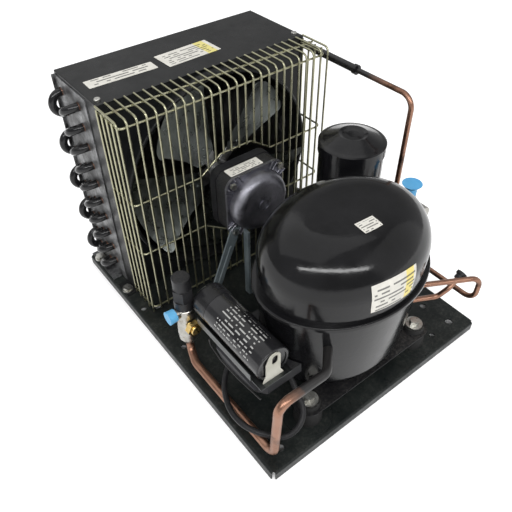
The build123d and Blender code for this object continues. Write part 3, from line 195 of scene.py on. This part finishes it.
def metal(name, colour, shade, rough=(0.25, 0.45), scale=90.0, stretch=(1, 1, 1), stain=None, stain_share=0.0,
          bumps=0.1):
    """Bare or plated metal: two tones in soft blotches, brushed along one way, with stains where asked."""
    finish = Finish(name, metallic=1.0)
    brushed = finish.moved(scale=stretch)
    tone = finish.mix(finish.range(finish.noise(scale, 6.0, 0.65, brushed), 0.3, 0.7), shade, colour)
    if stain:
        marks = finish.range(finish.noise(scale * 0.4, 8.0, 0.7), 0.62 - stain_share, 0.72 - stain_share * 0.6)
        tone = finish.mix(marks, tone, stain)
    finish.colour(tone)
    finish.roughness(finish.range(finish.noise(scale * 2.0, 6.0, 0.6, brushed), 0.3, 0.7, *rough))
    finish.relief(finish.noise(scale * 8.0, 3.0, 0.6, brushed), bumps, 0.0004)
    return finish.material


INK = (0.05, 0.05, 0.05)
MARGIN_ACROSS = 0.86
MARGIN_DOWN = 0.78


def ruled_paper(name, paper, centre, turn, half_width, half_depth, rows, patch=None):
    """A pale plate with rows of short plain dashes inside a margin, and a coloured block where asked."""
    finish = Finish(name)
    x, y = finish.parts(finish.moved(centre, turn))[:2]
    pitch = 2 * half_depth / (rows + 1.5)
    dash = finish.dashes(finish.math("DIVIDE", x, pitch * 0.9), finish.math("DIVIDE", y, pitch), 0.4, 0.36)
    for coordinate, half in ((x, half_width * MARGIN_ACROSS), (y, half_depth * MARGIN_DOWN)):
        dash = finish.math("MULTIPLY", dash, finish.math("LESS_THAN", finish.math("ABSOLUTE", coordinate), half))
    worn = finish.mix(finish.range(finish.noise(120.0, 6.0), 0.3, 0.7), paper, tuple(c * 0.86 for c in paper))
    if patch:
        low, high, tint = patch
        block = finish.math("MULTIPLY", finish.math("GREATER_THAN", x, low), finish.math("LESS_THAN", x, high))
        worn = finish.mix(block, worn, tint)
    finish.colour(finish.mix(finish.math("MULTIPLY", dash, 0.82), worn, INK))
    finish.roughness(finish.range(finish.noise(200.0), 0.3, 0.7, 0.38, 0.5))
    return finish.material


# Modelling helpers

def deselect():
    bpy.ops.object.select_all(action="DESELECT")


def only(piece):
    deselect()
    piece.select_set(True)
    bpy.context.view_layer.objects.active = piece


def edit_selection(mode, chosen):
    """In edit mode, selects the vertices, edges or faces that a test picks."""
    bpy.ops.mesh.select_mode(type=mode)
    bpy.ops.mesh.select_all(action="DESELECT")
    mesh = bmesh.from_edit_mesh(bpy.context.object.data)
    items = {"VERT": mesh.verts, "EDGE": mesh.edges, "FACE": mesh.faces}[mode]
    for item in items:
        if chosen(item):
            item.select_set(True)
    bmesh.update_edit_mesh(bpy.context.object.data)


def settle(piece, name, body, material, smooth=None):
    """Names a finished piece, puts its place into its mesh, gives it its finish and lets it ride."""
    only(piece)
    bpy.ops.object.transform_apply(location=True, rotation=True, scale=True)
    if smooth is not None:
        bpy.ops.object.shade_smooth_by_angle(angle=math.radians(smooth))
    piece.name = name
    piece.data.materials.clear()
    piece.data.materials.append(material)
    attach(piece, body)
    return piece


def rounded_slab(size, corner, edge):
    """A thin plate about the origin with rounded corners and a softened top edge."""
    deselect()
    bpy.ops.mesh.primitive_cube_add(size=1.0)
    piece = bpy.context.object
    piece.scale = size
    bpy.ops.object.transform_apply(location=False, rotation=False, scale=True)
    bpy.ops.object.mode_set(mode="EDIT")
    edit_selection("EDGE", lambda edge_item: abs(edge_item.verts[0].co.z - edge_item.verts[1].co.z) > size[2] / 2)
    bpy.ops.mesh.bevel(offset=corner, segments=4, affect="EDGES")
    edit_selection("FACE", lambda face: face.normal.z > 0.9)
    bpy.ops.mesh.inset(thickness=edge, depth=0.0)
    bpy.ops.object.mode_set(mode="OBJECT")
    return piece


def apply_all(piece):
    only(piece)
    for modifier in list(piece.modifiers):
        bpy.ops.object.modifier_apply(modifier=modifier.name)


# Sizes and colours that a user would change

class UnitLooks(bpy.types.PropertyGroup):
    fin_pitch: bpy.props.FloatProperty(name="Fin pitch", description="Distance from one fin to the next",
                                       default=0.0021, min=0.001, max=0.01, unit="LENGTH")
    fin_thickness: bpy.props.FloatProperty(name="Fin thickness", description="Thickness of one fin's sheet",
                                           default=0.0003, min=0.0001, max=0.001, unit="LENGTH")
    plate_thickness: bpy.props.FloatProperty(name="Plate thickness", description="Thickness of the pale plates",
                                             default=0.0002, min=0.00005, max=0.001, unit="LENGTH")
    cord_diameter: bpy.props.FloatProperty(name="Cord diameter", description="Diameter of the supply cord",
                                           default=0.0064, min=0.003, max=0.012, unit="LENGTH")
    paper: bpy.props.FloatVectorProperty(name="Plate colour", description="Colour of the pale plates",
                                         default=(0.74, 0.72, 0.66), min=0.0, max=1.0, subtype="COLOR")
    wire: bpy.props.FloatVectorProperty(name="Wire colour", description="Colour of the guard's plated wire",
                                        default=(0.46, 0.45, 0.31), min=0.0, max=1.0, subtype="COLOR")


def looks():
    return bpy.context.scene.unit_looks


def dress(material, *names):
    """Gives carried-over nodes their finish."""
    for name in names:
        slots = nodes[name].data.materials
        slots.clear()
        slots.append(material)


# Stage, camera and lamps

def seen_directly(tree, mirrored=1.0):
    """1 where the eye looks at the backdrop, mirrored where metal or glass does, 0 where it only lights the object."""
    path = tree.nodes.new("ShaderNodeLightPath")
    total = path.outputs["Is Camera Ray"]
    for name in ("Is Glossy Ray", "Is Transmission Ray"):
        part = tree.nodes.new("ShaderNodeMath")
        part.operation = "MULTIPLY"
        part.inputs[1].default_value = mirrored
        tree.links.new(path.outputs[name], part.inputs[0])
        larger = tree.nodes.new("ShaderNodeMath")
        larger.operation = "MAXIMUM"
        tree.links.new(total, larger.inputs[0])
        tree.links.new(part.outputs["Value"], larger.inputs[1])
        total = larger.outputs["Value"]
    return total


CAMERA_PLACE = Vector((-0.33106, -0.40762, 0.55495))
CAMERA_RIGHT = Vector((0.78997, -0.61302, -0.01243))
CAMERA_UP = Vector((0.42916, 0.53834, 0.72527))
CAMERA_LENS = 40.01
SENSOR_WIDTH = 36.0
FLOOR_SIZE = 12.0
FLOOR_GAP = 0.0002
FLOOR_GLOW = 0.42
FAR_FLOOR_GLOW = 0.6
WORLD_ON_OBJECT = 0.36
WORLD_SEEN = 1.0
WORLD_IN_MIRRORS = 0.12
LAMP_AIM = Vector((0, 0, 0.1))
LAMPS = (  # name, place, width, depth, power
    ("key", (-0.85, -1.1, 1.45), 3.0, 0.2, 34.0),
    ("fill", (1.4, -1.4, 1.0), 2.6, 2.6, 9.0),
    ("top", (-0.2, 0.7, 1.9), 2.8, 2.8, 18.0),
)


class UNIT_OT_stage(bpy.types.Operator):
    """Adds the camera at the photograph's angle, the pale floor and the soft lamps"""
    bl_idname = "unit.stage"
    bl_label = "Stage"

    def execute(self, context):
        data = bpy.data.cameras.new("camera")
        data.lens = CAMERA_LENS
        data.sensor_width = SENSOR_WIDTH
        data.clip_start = 0.01
        camera = bpy.data.objects.new("camera", data)
        context.scene.collection.objects.link(camera)
        turned = Matrix((CAMERA_RIGHT, CAMERA_UP, CAMERA_RIGHT.cross(CAMERA_UP))).transposed()
        camera.matrix_world = Matrix.Translation(CAMERA_PLACE) @ turned.to_4x4()
        context.scene.camera = camera

        deselect()
        bpy.ops.mesh.primitive_plane_add(size=FLOOR_SIZE, location=(0, 0, cad_box[0][2] - FLOOR_GAP))
        floor = context.object
        floor.name = "floor"
        bpy.ops.object.transform_apply(location=True, rotation=True, scale=True)
        finish = Finish("floor pale")
        finish.colour(finish.mix(finish.range(finish.noise(3.0), 0.3, 0.7), (0.86, 0.86, 0.86), (0.9, 0.9, 0.9)))
        finish.roughness(0.75)
        finish.put(finish.shader.inputs["Emission Color"], (1.0, 1.0, 1.0, 1.0))
        # the floor glows beside the unit only; its glow is cut off under the unit, a painted shadow that keeps the
        # pan's holes dark
        x, y = finish.parts(finish.place)[:2]
        beside = finish.math("MAXIMUM", finish.math("SUBTRACT", finish.math("ABSOLUTE", x), -cad_box[0][0]),
                             finish.math("SUBTRACT", finish.math("ABSOLUTE", y), cad_box[1][1]))
        # no glow inside the unit's footprint: painted shadow under the unit
        floor_glow_with_painted_shadow_under_unit = finish.range(beside, -0.02, 0.01, 0.0, FLOOR_GLOW)
        far_floor = finish.range(beside, 0.5, 1.8, 0.0, FAR_FLOOR_GLOW)
        glow = finish.math("MULTIPLY", seen_directly(finish.tree), finish.math("ADD", floor_glow_with_painted_shadow_under_unit, far_floor))
        finish.put(finish.shader.inputs["Emission Strength"], glow)
        floor.data.materials.append(finish.material)

        for name, place, width, depth, power in LAMPS:
            lamp_data = bpy.data.lights.new(name, "AREA")
            lamp_data.shape = "RECTANGLE"
            lamp_data.size, lamp_data.size_y = width, depth
            lamp_data.energy = power
            lamp = bpy.data.objects.new(name, lamp_data)
            context.scene.collection.objects.link(lamp)
            toward = LAMP_AIM - Vector(place)
            lamp.matrix_world = Matrix.Translation(place) @ toward.to_track_quat("-Z", "Y").to_matrix().to_4x4()

        world = bpy.data.worlds.new("studio")
        world.use_nodes = True
        context.scene.world = world
        tree = world.node_tree
        background = tree.nodes["Background"]
        background.inputs["Color"].default_value = (1, 1, 1, 1)
        strength = tree.nodes.new("ShaderNodeMapRange")
        strength.inputs["To Min"].default_value = WORLD_ON_OBJECT
        strength.inputs["To Max"].default_value = WORLD_SEEN
        tree.links.new(seen_directly(tree, mirrored=WORLD_IN_MIRRORS), strength.inputs["Value"])
        tree.links.new(strength.outputs["Result"], background.inputs["Strength"])
        context.scene.view_settings.view_transform = "Standard"
        return {"FINISHED"}


CORD_ROUTE = [
    (-0.0975, -0.0960, 0.0568), (-0.1075, -0.0895, 0.0493), (-0.1180, -0.0865, 0.0408), (-0.1290, -0.0880, 0.0328),
    (-0.1390, -0.0940, 0.0268), (-0.1475, -0.1035, 0.0238), (-0.1540, -0.1155, 0.0228), (-0.1585, -0.1280, 0.0228),
    (-0.1600, -0.1410, 0.0228), (-0.1585, -0.1540, 0.0228), (-0.1535, -0.1665, 0.0228), (-0.1455, -0.1775, 0.0217),
    (-0.1370, -0.1860, 0.0185), (-0.1267, -0.1906, 0.0198), (-0.1161, -0.1912, 0.0240), (-0.1072, -0.1878, 0.0302),
    (-0.1017, -0.1809, 0.0374), (-0.1005, -0.1718, 0.0442), (-0.0989, -0.1628, 0.0512), (-0.0982, -0.1515, 0.0615),
]


class UNIT_OT_cord(bpy.types.Operator):
    """Lays the cord out of the terminal cover, over the suction tube and back"""
    bl_idname = "unit.cord"
    bl_label = "Cord"

    def execute(self, context):
        curve = bpy.data.curves.new("cord_loop", "CURVE")
        curve.dimensions = "3D"
        curve.resolution_u = 6
        spline = curve.splines.new("NURBS")
        spline.points.add(len(CORD_ROUTE) - 1)
        for point, place in zip(spline.points, CORD_ROUTE):
            point.co = (*place, 1.0)
        spline.order_u = 3
        spline.use_endpoint_u = True
        curve.bevel_depth = looks().cord_diameter / 2
        curve.bevel_resolution = 5
        curve.use_fill_caps = True
        cord = bpy.data.objects.new("cord_loop", curve)
        context.scene.collection.objects.link(cord)
        curve.materials.append(paint("cord jacket", (0.018, 0.018, 0.020), (0.008, 0.008, 0.009), (0.34, 0.52),
                                     1400.0, 0.2, dust=0.3))
        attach(cord, "unit")
        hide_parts("power_cord")
        return {"FINISHED"}


class UNIT_OT_sheet_metal(bpy.types.Operator):
    """Finishes the base pan, the housing, the end plates and the bolts"""
    bl_idname = "unit.sheet_metal"
    bl_label = "Sheet metal"

    def execute(self, context):
        dress(paint("pan paint", (0.015, 0.018, 0.017), (0.006, 0.008, 0.008), (0.26, 0.48), 1100.0, 0.22, dust=0.22),
              "base_plate")
        dress(paint("housing paint", (0.012, 0.0125, 0.013), (0.006, 0.0065, 0.007), (0.26, 0.42), 1500.0, 0.16,
                    dust=0.05), "condenser_hood", "fan_shroud")
        dress(paint("foot paint", (0.014, 0.014, 0.015), (0.006, 0.006, 0.007), (0.22, 0.4), 900.0, 0.2, dust=0.4),
              "compressor_feet")
        finish = Finish("end plate", metallic=1.0)
        bare = finish.mix(finish.range(finish.cells(260.0), 0.1, 0.7), (0.20, 0.205, 0.21), (0.34, 0.345, 0.35))
        drift = finish.range(finish.noise(34.0, 7.0, 0.7), 0.36, 0.56)
        finish.colour(finish.mix(drift, bare, (0.016, 0.016, 0.017)))
        finish.roughness(finish.range(finish.noise(90.0), 0.3, 0.7, 0.3, 0.5))
        finish.put(finish.shader.inputs["Metallic"], finish.range(drift, 0.0, 1.0, 1.0, 0.0))
        dress(finish.material, "coil_end_plate_left", "coil_end_plate_right")
        dress(metal("bright zinc", (0.60, 0.60, 0.57), (0.38, 0.37, 0.34), (0.24, 0.42), 220.0,
                    stain=(0.14, 0.12, 0.09), stain_share=0.02), "base_bolts", "compressor_bolts", "compressor_nuts",
              "hood_screws", "motor_screws", "compressor_springs")
        return {"FINISHED"}


FIN_WAVE = 0.0005
FIN_START = 0.0006


class UNIT_OT_coil(bpy.types.Operator):
    """Models the single fins of the coil and finishes the return bends and headers"""
    bl_idname = "unit.coil"
    bl_label = "Coil"

    def execute(self, context):
        low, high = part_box("fin_pack")
        pitch = looks().fin_pitch
        count = int((high[0] - low[0]) / pitch)
        deselect()
        bpy.ops.mesh.primitive_cube_add(size=1.0)
        fin = context.object
        fin.scale = (looks().fin_thickness, high[1] - low[1], high[2] - low[2])
        bpy.ops.object.transform_apply(location=False, rotation=False, scale=True)
        bpy.ops.object.mode_set(mode="EDIT")
        edit_selection("EDGE", lambda edge: abs(edge.verts[0].co.y - edge.verts[1].co.y) > 0.01)
        bpy.ops.mesh.subdivide(number_cuts=6)
        mesh = bmesh.from_edit_mesh(fin.data)
        lines = sorted({round(vertex.co.y, 6) for vertex in mesh.verts})
        edit_selection("VERT", lambda vertex: round(vertex.co.y, 6) in lines[1:-1:2])
        bpy.ops.transform.translate(value=(FIN_WAVE, 0, 0))
        bpy.ops.object.mode_set(mode="OBJECT")
        fin.location = (low[0] + FIN_START, (low[1] + high[1]) / 2, (low[2] + high[2]) / 2)
        array = fin.modifiers.new("rows", "ARRAY")
        array.use_relative_offset = False
        array.use_constant_offset = True
        array.constant_offset_displace = (pitch, 0, 0)
        array.count = count
        apply_all(fin)
        finish = Finish("fin aluminium", metallic=1.0)
        soot = finish.range(finish.noise(26.0, 6.0, 0.6), 0.3, 0.7)
        finish.colour(finish.mix(soot, (0.10, 0.10, 0.10), (0.30, 0.31, 0.31)))
        finish.roughness(finish.range(finish.noise(300.0), 0.3, 0.7, 0.3, 0.5))
        settle(fin, "coil_fins", "unit", finish.material)
        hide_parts("fin_pack")
        dress(paint("black pipe", (0.014, 0.014, 0.015), (0.006, 0.006, 0.007), (0.10, 0.30), 500.0, 0.18, dust=0.25,
                    coat=0.2), "return_bends_left", "return_bends_right", "inlet_header", "outlet_header")
        return {"FINISHED"}


COPPER = (0.38, 0.215, 0.150)
COPPER_SHADE = (0.23, 0.120, 0.082)
COPPER_STAIN = (0.085, 0.050, 0.036)
SPRAY_BLACK = (0.012, 0.011, 0.011)


class UNIT_OT_piping(bpy.types.Operator):
    """Finishes the copper lines, the valves and their caps"""
    bl_idname = "unit.piping"
    bl_label = "Piping"

    def execute(self, context):
        dress(metal("copper", COPPER, COPPER_SHADE, (0.28, 0.5), 55.0, stain=COPPER_STAIN, stain_share=0.08,
                    bumps=0.14), "liquid_tube", "process_tube", "coil_tubes")
        dress(self.sprayed_copper("suction copper", "X", -0.143, -0.124), "suction_tube", "suction_stub")
        dress(self.sprayed_copper("discharge copper", "Y", -0.030, 0.004), "discharge_line")
        dress(metal("nickel", (0.52, 0.51, 0.48), (0.30, 0.29, 0.26), (0.22, 0.42), 120.0,
                    stain=(0.16, 0.11, 0.06), stain_share=0.03), "suction_valve_body", "liquid_valve_cap")
        dress(paint("black stem cap", (0.022, 0.022, 0.024), (0.010, 0.010, 0.011), (0.34, 0.5), 800.0, 0.2, dust=0.2),
              "suction_valve_cap", "process_tube_cap")
        dress(metal("brass", (0.72, 0.53, 0.22), (0.48, 0.33, 0.12), (0.22, 0.4), 110.0),
              "suction_gauge_nut", "liquid_valve_body", "motor_bearings")
        dress(paint("sky blue cap", (0.16, 0.48, 0.78), (0.09, 0.36, 0.66), (0.32, 0.5), 700.0, 0.12),
              "suction_port_plug", "liquid_port_plug")
        dress(paint("receiver paint", (0.009, 0.009, 0.010), (0.004, 0.004, 0.005), (0.10, 0.24), 500.0, 0.14,
                    dust=0.08, coat=0.2), "receiver")
        return {"FINISHED"}

    def sprayed_copper(self, name, axis, bare, covered):
        """Copper whose end near the black pieces is under the same spray, fading out along one axis."""
        finish = Finish(name, metallic=1.0)
        tone = finish.mix(finish.range(finish.noise(55.0, 6.0, 0.65), 0.3, 0.7), COPPER_SHADE, COPPER)
        tone = finish.mix(finish.range(finish.noise(22.0, 8.0, 0.7), 0.54, 0.68), tone, COPPER_STAIN)
        along = finish.math("ADD", finish.parts(finish.place)[axis],
                            finish.math("MULTIPLY", finish.math("SUBTRACT", finish.noise(90.0), 0.5), 0.02))
        spray = finish.range(along, bare, covered)
        finish.colour(finish.mix(spray, tone, SPRAY_BLACK))
        finish.roughness(finish.range(finish.noise(110.0, 6.0), 0.3, 0.7, 0.28, 0.5))
        finish.put(finish.shader.inputs["Metallic"], finish.range(spray, 0.0, 1.0, 1.0, 0.0))
        finish.relief(finish.noise(440.0, 3.0), 0.14, 0.0004)
        return finish.material


class UNIT_OT_compressor(bpy.types.Operator):
    """Finishes the compressor and lays its side plate and its small sticker"""
    bl_idname = "unit.compressor"
    bl_label = "Compressor"

    def execute(self, context):
        gloss = Finish("shell enamel", coat=0.06)
        tone = gloss.mix(gloss.range(gloss.noise(22.0), 0.35, 0.68), (0.003, 0.003, 0.0035), (0.008, 0.008, 0.009))
        gloss.colour(gloss.dusted(tone, (0.12, 0.12, 0.12), 0.02, 9.0))
        gloss.shader.inputs["Specular IOR Level"].default_value = 0.26
        gloss.roughness(gloss.range(gloss.noise(46.0, 6.0), 0.3, 0.7, 0.09, 0.22))
        gloss.relief(gloss.noise(320.0, 2.0), 0.10, 0.0008)
        dress(gloss.material, "compressor_upper_shell", "compressor_lower_shell")
        dress(paint("mount rubber", (0.022, 0.022, 0.022), (0.010, 0.010, 0.010), (0.6, 0.8), 900.0, 0.3, dust=0.5),
              "compressor_grommets")
        dress(paint("cast iron", (0.16, 0.16, 0.16), (0.09, 0.09, 0.09), (0.5, 0.7), 700.0, 0.5),
              "compressor_block", "crankshaft")
        dress(metal("lamination", (0.055, 0.055, 0.06), (0.02, 0.02, 0.022), (0.34, 0.5), 260.0, (1, 6, 1)),
              "compressor_stator", "compressor_rotor", "motor_rotor")

        self.plate_on_shell("compressor_plate", (-0.0155, -0.2080, 0.1725), 0.058, 0.037, -6.0, 17.0,
                            rows=6, patch=(0.012, 0.023, (0.78, 0.66, 0.22)))
        self.plate_on_shell("compressor_sticker", (-0.0090, -0.1550, 0.2300), 0.022, 0.017, -4.0, 90.0, rows=4)
        return {"FINISHED"}

    def plate_on_shell(self, name, centre, width, depth, turn, lift, rows, patch=None):
        """A thin plate that follows the shell: a fine grid laid on it and given its thickness."""
        deselect()
        bpy.ops.mesh.primitive_grid_add(x_subdivisions=28, y_subdivisions=16, size=1.0)
        plate = bpy.context.object
        plate.scale = (width, depth, 1.0)
        bpy.ops.object.transform_apply(location=False, rotation=False, scale=True)
        tilt = (math.radians(90.0 - lift), 0.0, math.radians(turn))
        plate.rotation_euler = tilt
        plate.location = centre
        bpy.ops.object.transform_apply(location=True, rotation=True, scale=True)
        wrap = plate.modifiers.new("lie", "SHRINKWRAP")
        wrap.target = nodes["compressor_upper_shell"]
        wrap.wrap_method = "NEAREST_SURFACEPOINT"
        wrap.wrap_mode = "OUTSIDE_SURFACE"
        wrap.offset = 0.0003
        thick = plate.modifiers.new("sheet", "SOLIDIFY")
        thick.thickness = looks().plate_thickness
        thick.offset = 1.0
        apply_all(plate)
        paper = ruled_paper(name + " paper", tuple(looks().paper), centre, tilt, width / 2, depth / 2, rows, patch)
        settle(plate, name, "unit", paper, 30.0)


class UNIT_OT_plates(bpy.types.Operator):
    """Adds the two pale plates on the housing's top and the one on the motor"""
    bl_idname = "unit.plates"
    bl_label = "Plates"

    def execute(self, context):
        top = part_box("condenser_hood")[1][2]
        self.plate("housing_plate", (-0.0910, 0.1470, top), (0.0820, 0.0185), -1.7, 2)
        self.plate("housing_rating", (-0.0044, 0.1479, top), (0.0715, 0.0340), 2.2, 6,
                   (0.018, 0.031, (0.74, 0.66, 0.24)))
        stack_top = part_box("motor_stack")[1][2]
        self.plate("motor_plate", (-0.0125, 0.0335, stack_top), (0.046, 0.0150), 0.0, 4)
        return {"FINISHED"}

    def plate(self, name, centre, size, turn, rows, patch=None):
        thickness = looks().plate_thickness
        plate = rounded_slab((*size, thickness), 0.0012, 0.0004)
        plate.rotation_euler = (0, 0, math.radians(turn))
        plate.location = (centre[0], centre[1], centre[2] + thickness / 2 + 0.0001)
        paper = ruled_paper(name + " paper", tuple(looks().paper), centre, (0, 0, math.radians(turn)), size[0] / 2,
                            size[1] / 2, rows, patch)
        settle(plate, name, "unit", paper)


PRINT_FROM, PRINT_TO = -0.140, -0.083
PRINT_MIDDLE = -0.5
PRINT_HALF_TURN = 0.95
ROWS_PER_RADIAN = 4.6
DASHES_PER_METRE = 520.0


class UNIT_OT_capacitor(bpy.types.Operator):
    """Finishes the capacitor, its tray, the terminal cover and the wire clip"""
    bl_idname = "unit.capacitor"
    bl_label = "Capacitor"

    def execute(self, context):
        low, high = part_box("start_capacitor")
        centre = ((low[0] + high[0]) / 2, 0.0, (low[2] + high[2]) / 2)
        case = Finish("capacitor case", coat=0.3)
        x, y, z = case.parts(case.moved(centre))[:3]
        tone = case.mix(case.range(case.noise(40.0), 0.35, 0.68), (0.008, 0.008, 0.009), (0.020, 0.020, 0.022))
        turn = case.math("ARCTAN2", x, z)
        around = case.math("ABSOLUTE", case.math("SUBTRACT", turn, PRINT_MIDDLE))
        dash = case.dashes(case.math("MULTIPLY", y, DASHES_PER_METRE), case.math("MULTIPLY", turn, ROWS_PER_RADIAN),
                           0.34, 0.42)
        dash = case.math("MULTIPLY", dash, case.math("LESS_THAN", around, PRINT_HALF_TURN))
        for operation, limit in (("GREATER_THAN", PRINT_FROM), ("LESS_THAN", PRINT_TO)):
            dash = case.math("MULTIPLY", dash, case.math(operation, y, limit))
        case.colour(case.mix(case.math("MULTIPLY", dash, 0.6), tone, (0.62, 0.62, 0.60)))
        case.roughness(case.range(case.noise(120.0), 0.3, 0.7, 0.12, 0.26))
        case.relief(case.noise(500.0, 2.0), 0.08, 0.0005)
        dress(case.material, "start_capacitor")
        dress(paint("boot moulding", (0.017, 0.017, 0.019), (0.008, 0.008, 0.009), (0.22, 0.4), 700.0, 0.12,
                    coat=0.2), "capacitor_boot")
        dress(paint("tab fibre", (0.66, 0.65, 0.58), (0.52, 0.51, 0.44), (0.5, 0.7), 900.0, 0.2), "capacitor_tab")
        dress(metal("tray zinc", (0.16, 0.17, 0.17), (0.08, 0.085, 0.085), (0.28, 0.46), 120.0, (1, 8, 1)),
              "capacitor_tray")
        dress(paint("cover moulding", (0.030, 0.031, 0.035), (0.016, 0.016, 0.018), (0.34, 0.5), 1200.0, 0.2,
                    dust=0.3), "terminal_cover")
        dress(paint("clip wire", (0.03, 0.03, 0.03), (0.012, 0.012, 0.012), (0.25, 0.4)), "cover_clip")
        return {"FINISHED"}


LAMINATIONS_PER_METRE = 1400.0
RIB_SIZE = (0.0100, 0.0026, 0.0014)
RIB_RING = 0.0443
RIB_PLANE = 0.0195
RIB_TURNS = (-15.0, -7.5, 7.5, 15.0)


class UNIT_OT_fan(bpy.types.Operator):
    """Finishes the motor, the bracket, the fan and the guard, and adds the motor's ribs"""
    bl_idname = "unit.fan"
    bl_label = "Fan"

    def execute(self, context):
        dress(metal("die casting", (0.27, 0.27, 0.30), (0.14, 0.14, 0.16), (0.36, 0.54), 60.0,
                    stain=(0.06, 0.06, 0.068), stain_share=0.05, bumps=0.3), "motor_front_cap")
        dress(paint("rear casting", (0.020, 0.020, 0.022), (0.010, 0.010, 0.011), (0.3, 0.45), 700.0, 0.2),
              "motor_rear_cap")
        stack = Finish("stack laminations", metallic=0.6)
        y = stack.parts(stack.place)["Y"]
        leaf = stack.math("FRACT", stack.math("MULTIPLY", y, LAMINATIONS_PER_METRE))
        stack.colour(stack.mix(stack.range(leaf, 0.35, 0.65), (0.012, 0.012, 0.013), (0.05, 0.05, 0.052)))
        stack.roughness(stack.range(stack.noise(90.0), 0.3, 0.7, 0.34, 0.52))
        stack.relief(leaf, 0.25, 0.0004)
        dress(stack.material, "motor_stack")
        self.motor_ribs(nodes["motor_front_cap"].data.materials[0])
        dress(paint("bracket zinc", (0.17, 0.20, 0.21), (0.09, 0.11, 0.12), (0.28, 0.46), 300.0, 0.2),
              "motor_bracket")
        dress(metal("blade aluminium", (0.25, 0.27, 0.26), (0.11, 0.12, 0.115), (0.22, 0.42), 30.0,
                    stain=(0.05, 0.05, 0.048), stain_share=0.05), "fan_blades", "fan_rivets")
        dress(metal("steel", (0.42, 0.42, 0.42), (0.22, 0.22, 0.22), (0.26, 0.44), 120.0), "fan_hub", "motor_shaft")
        wire = tuple(looks().wire)
        dress(metal("guard wire", wire, tuple(c * 0.66 for c in wire), (0.24, 0.42), 90.0,
                    stain=(0.16, 0.12, 0.06)),
              "guard_front", "guard_top", "guard_left", "guard_right")
        return {"FINISHED"}

    def motor_ribs(self, material):
        """Cooling ribs on the front cap's four ears, one rib modelled and turned into its places."""
        low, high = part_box("motor_front_cap")
        middle = Vector(((low[0] + high[0]) / 2, RIB_PLANE, (low[2] + high[2]) / 2))
        ribs = []
        for corner in range(4):
            for step in RIB_TURNS:
                deselect()
                bpy.ops.mesh.primitive_cube_add(size=1.0)
                rib = bpy.context.object
                rib.scale = RIB_SIZE
                bpy.ops.object.transform_apply(location=False, rotation=False, scale=True)
                bpy.ops.object.mode_set(mode="EDIT")
                edit_selection("FACE", lambda face: face.normal.y < -0.9)
                bpy.ops.mesh.inset(thickness=0.0003, depth=0.0004)
                bpy.ops.object.mode_set(mode="OBJECT")
                turn = math.radians(45.0 + 90.0 * corner + step)
                rib.rotation_euler = (0, -turn, 0)
                rib.location = middle + Vector((math.cos(turn), 0.0, math.sin(turn))) * RIB_RING
                bpy.ops.object.transform_apply(location=True, rotation=True, scale=True)
                ribs.append(rib)
        deselect()
        for rib in ribs:
            rib.select_set(True)
        bpy.context.view_layer.objects.active = ribs[0]
        bpy.ops.object.join()
        settle(bpy.context.object, "motor_ribs", "unit", material)


STEPS = (UNIT_OT_stage, UNIT_OT_cord, UNIT_OT_sheet_metal, UNIT_OT_coil, UNIT_OT_piping, UNIT_OT_compressor,
         UNIT_OT_plates, UNIT_OT_capacitor, UNIT_OT_fan)


class UNIT_PT_panel(bpy.types.Panel):
    bl_label = "Condensing unit"
    bl_idname = "UNIT_PT_panel"
    bl_space_type = "VIEW_3D"
    bl_region_type = "UI"
    bl_category = "Condensing unit"

    def draw(self, context):
        for name in UnitLooks.__annotations__:
            self.layout.prop(context.scene.unit_looks, name)
        for step in STEPS:
            self.layout.operator(step.bl_idname)


CLASSES = (UnitLooks, *STEPS, UNIT_PT_panel)


def register():
    for item in CLASSES:
        bpy.utils.register_class(item)
    bpy.types.Scene.unit_looks = bpy.props.PointerProperty(type=UnitLooks)


def unregister():
    del bpy.types.Scene.unit_looks
    for item in reversed(CLASSES):
        bpy.utils.unregister_class(item)


def main():
    register()
    for step in STEPS:
        group, call = step.bl_idname.split(".")
        getattr(getattr(bpy.ops, group), call)()


if __name__ == "__main__":
    main()
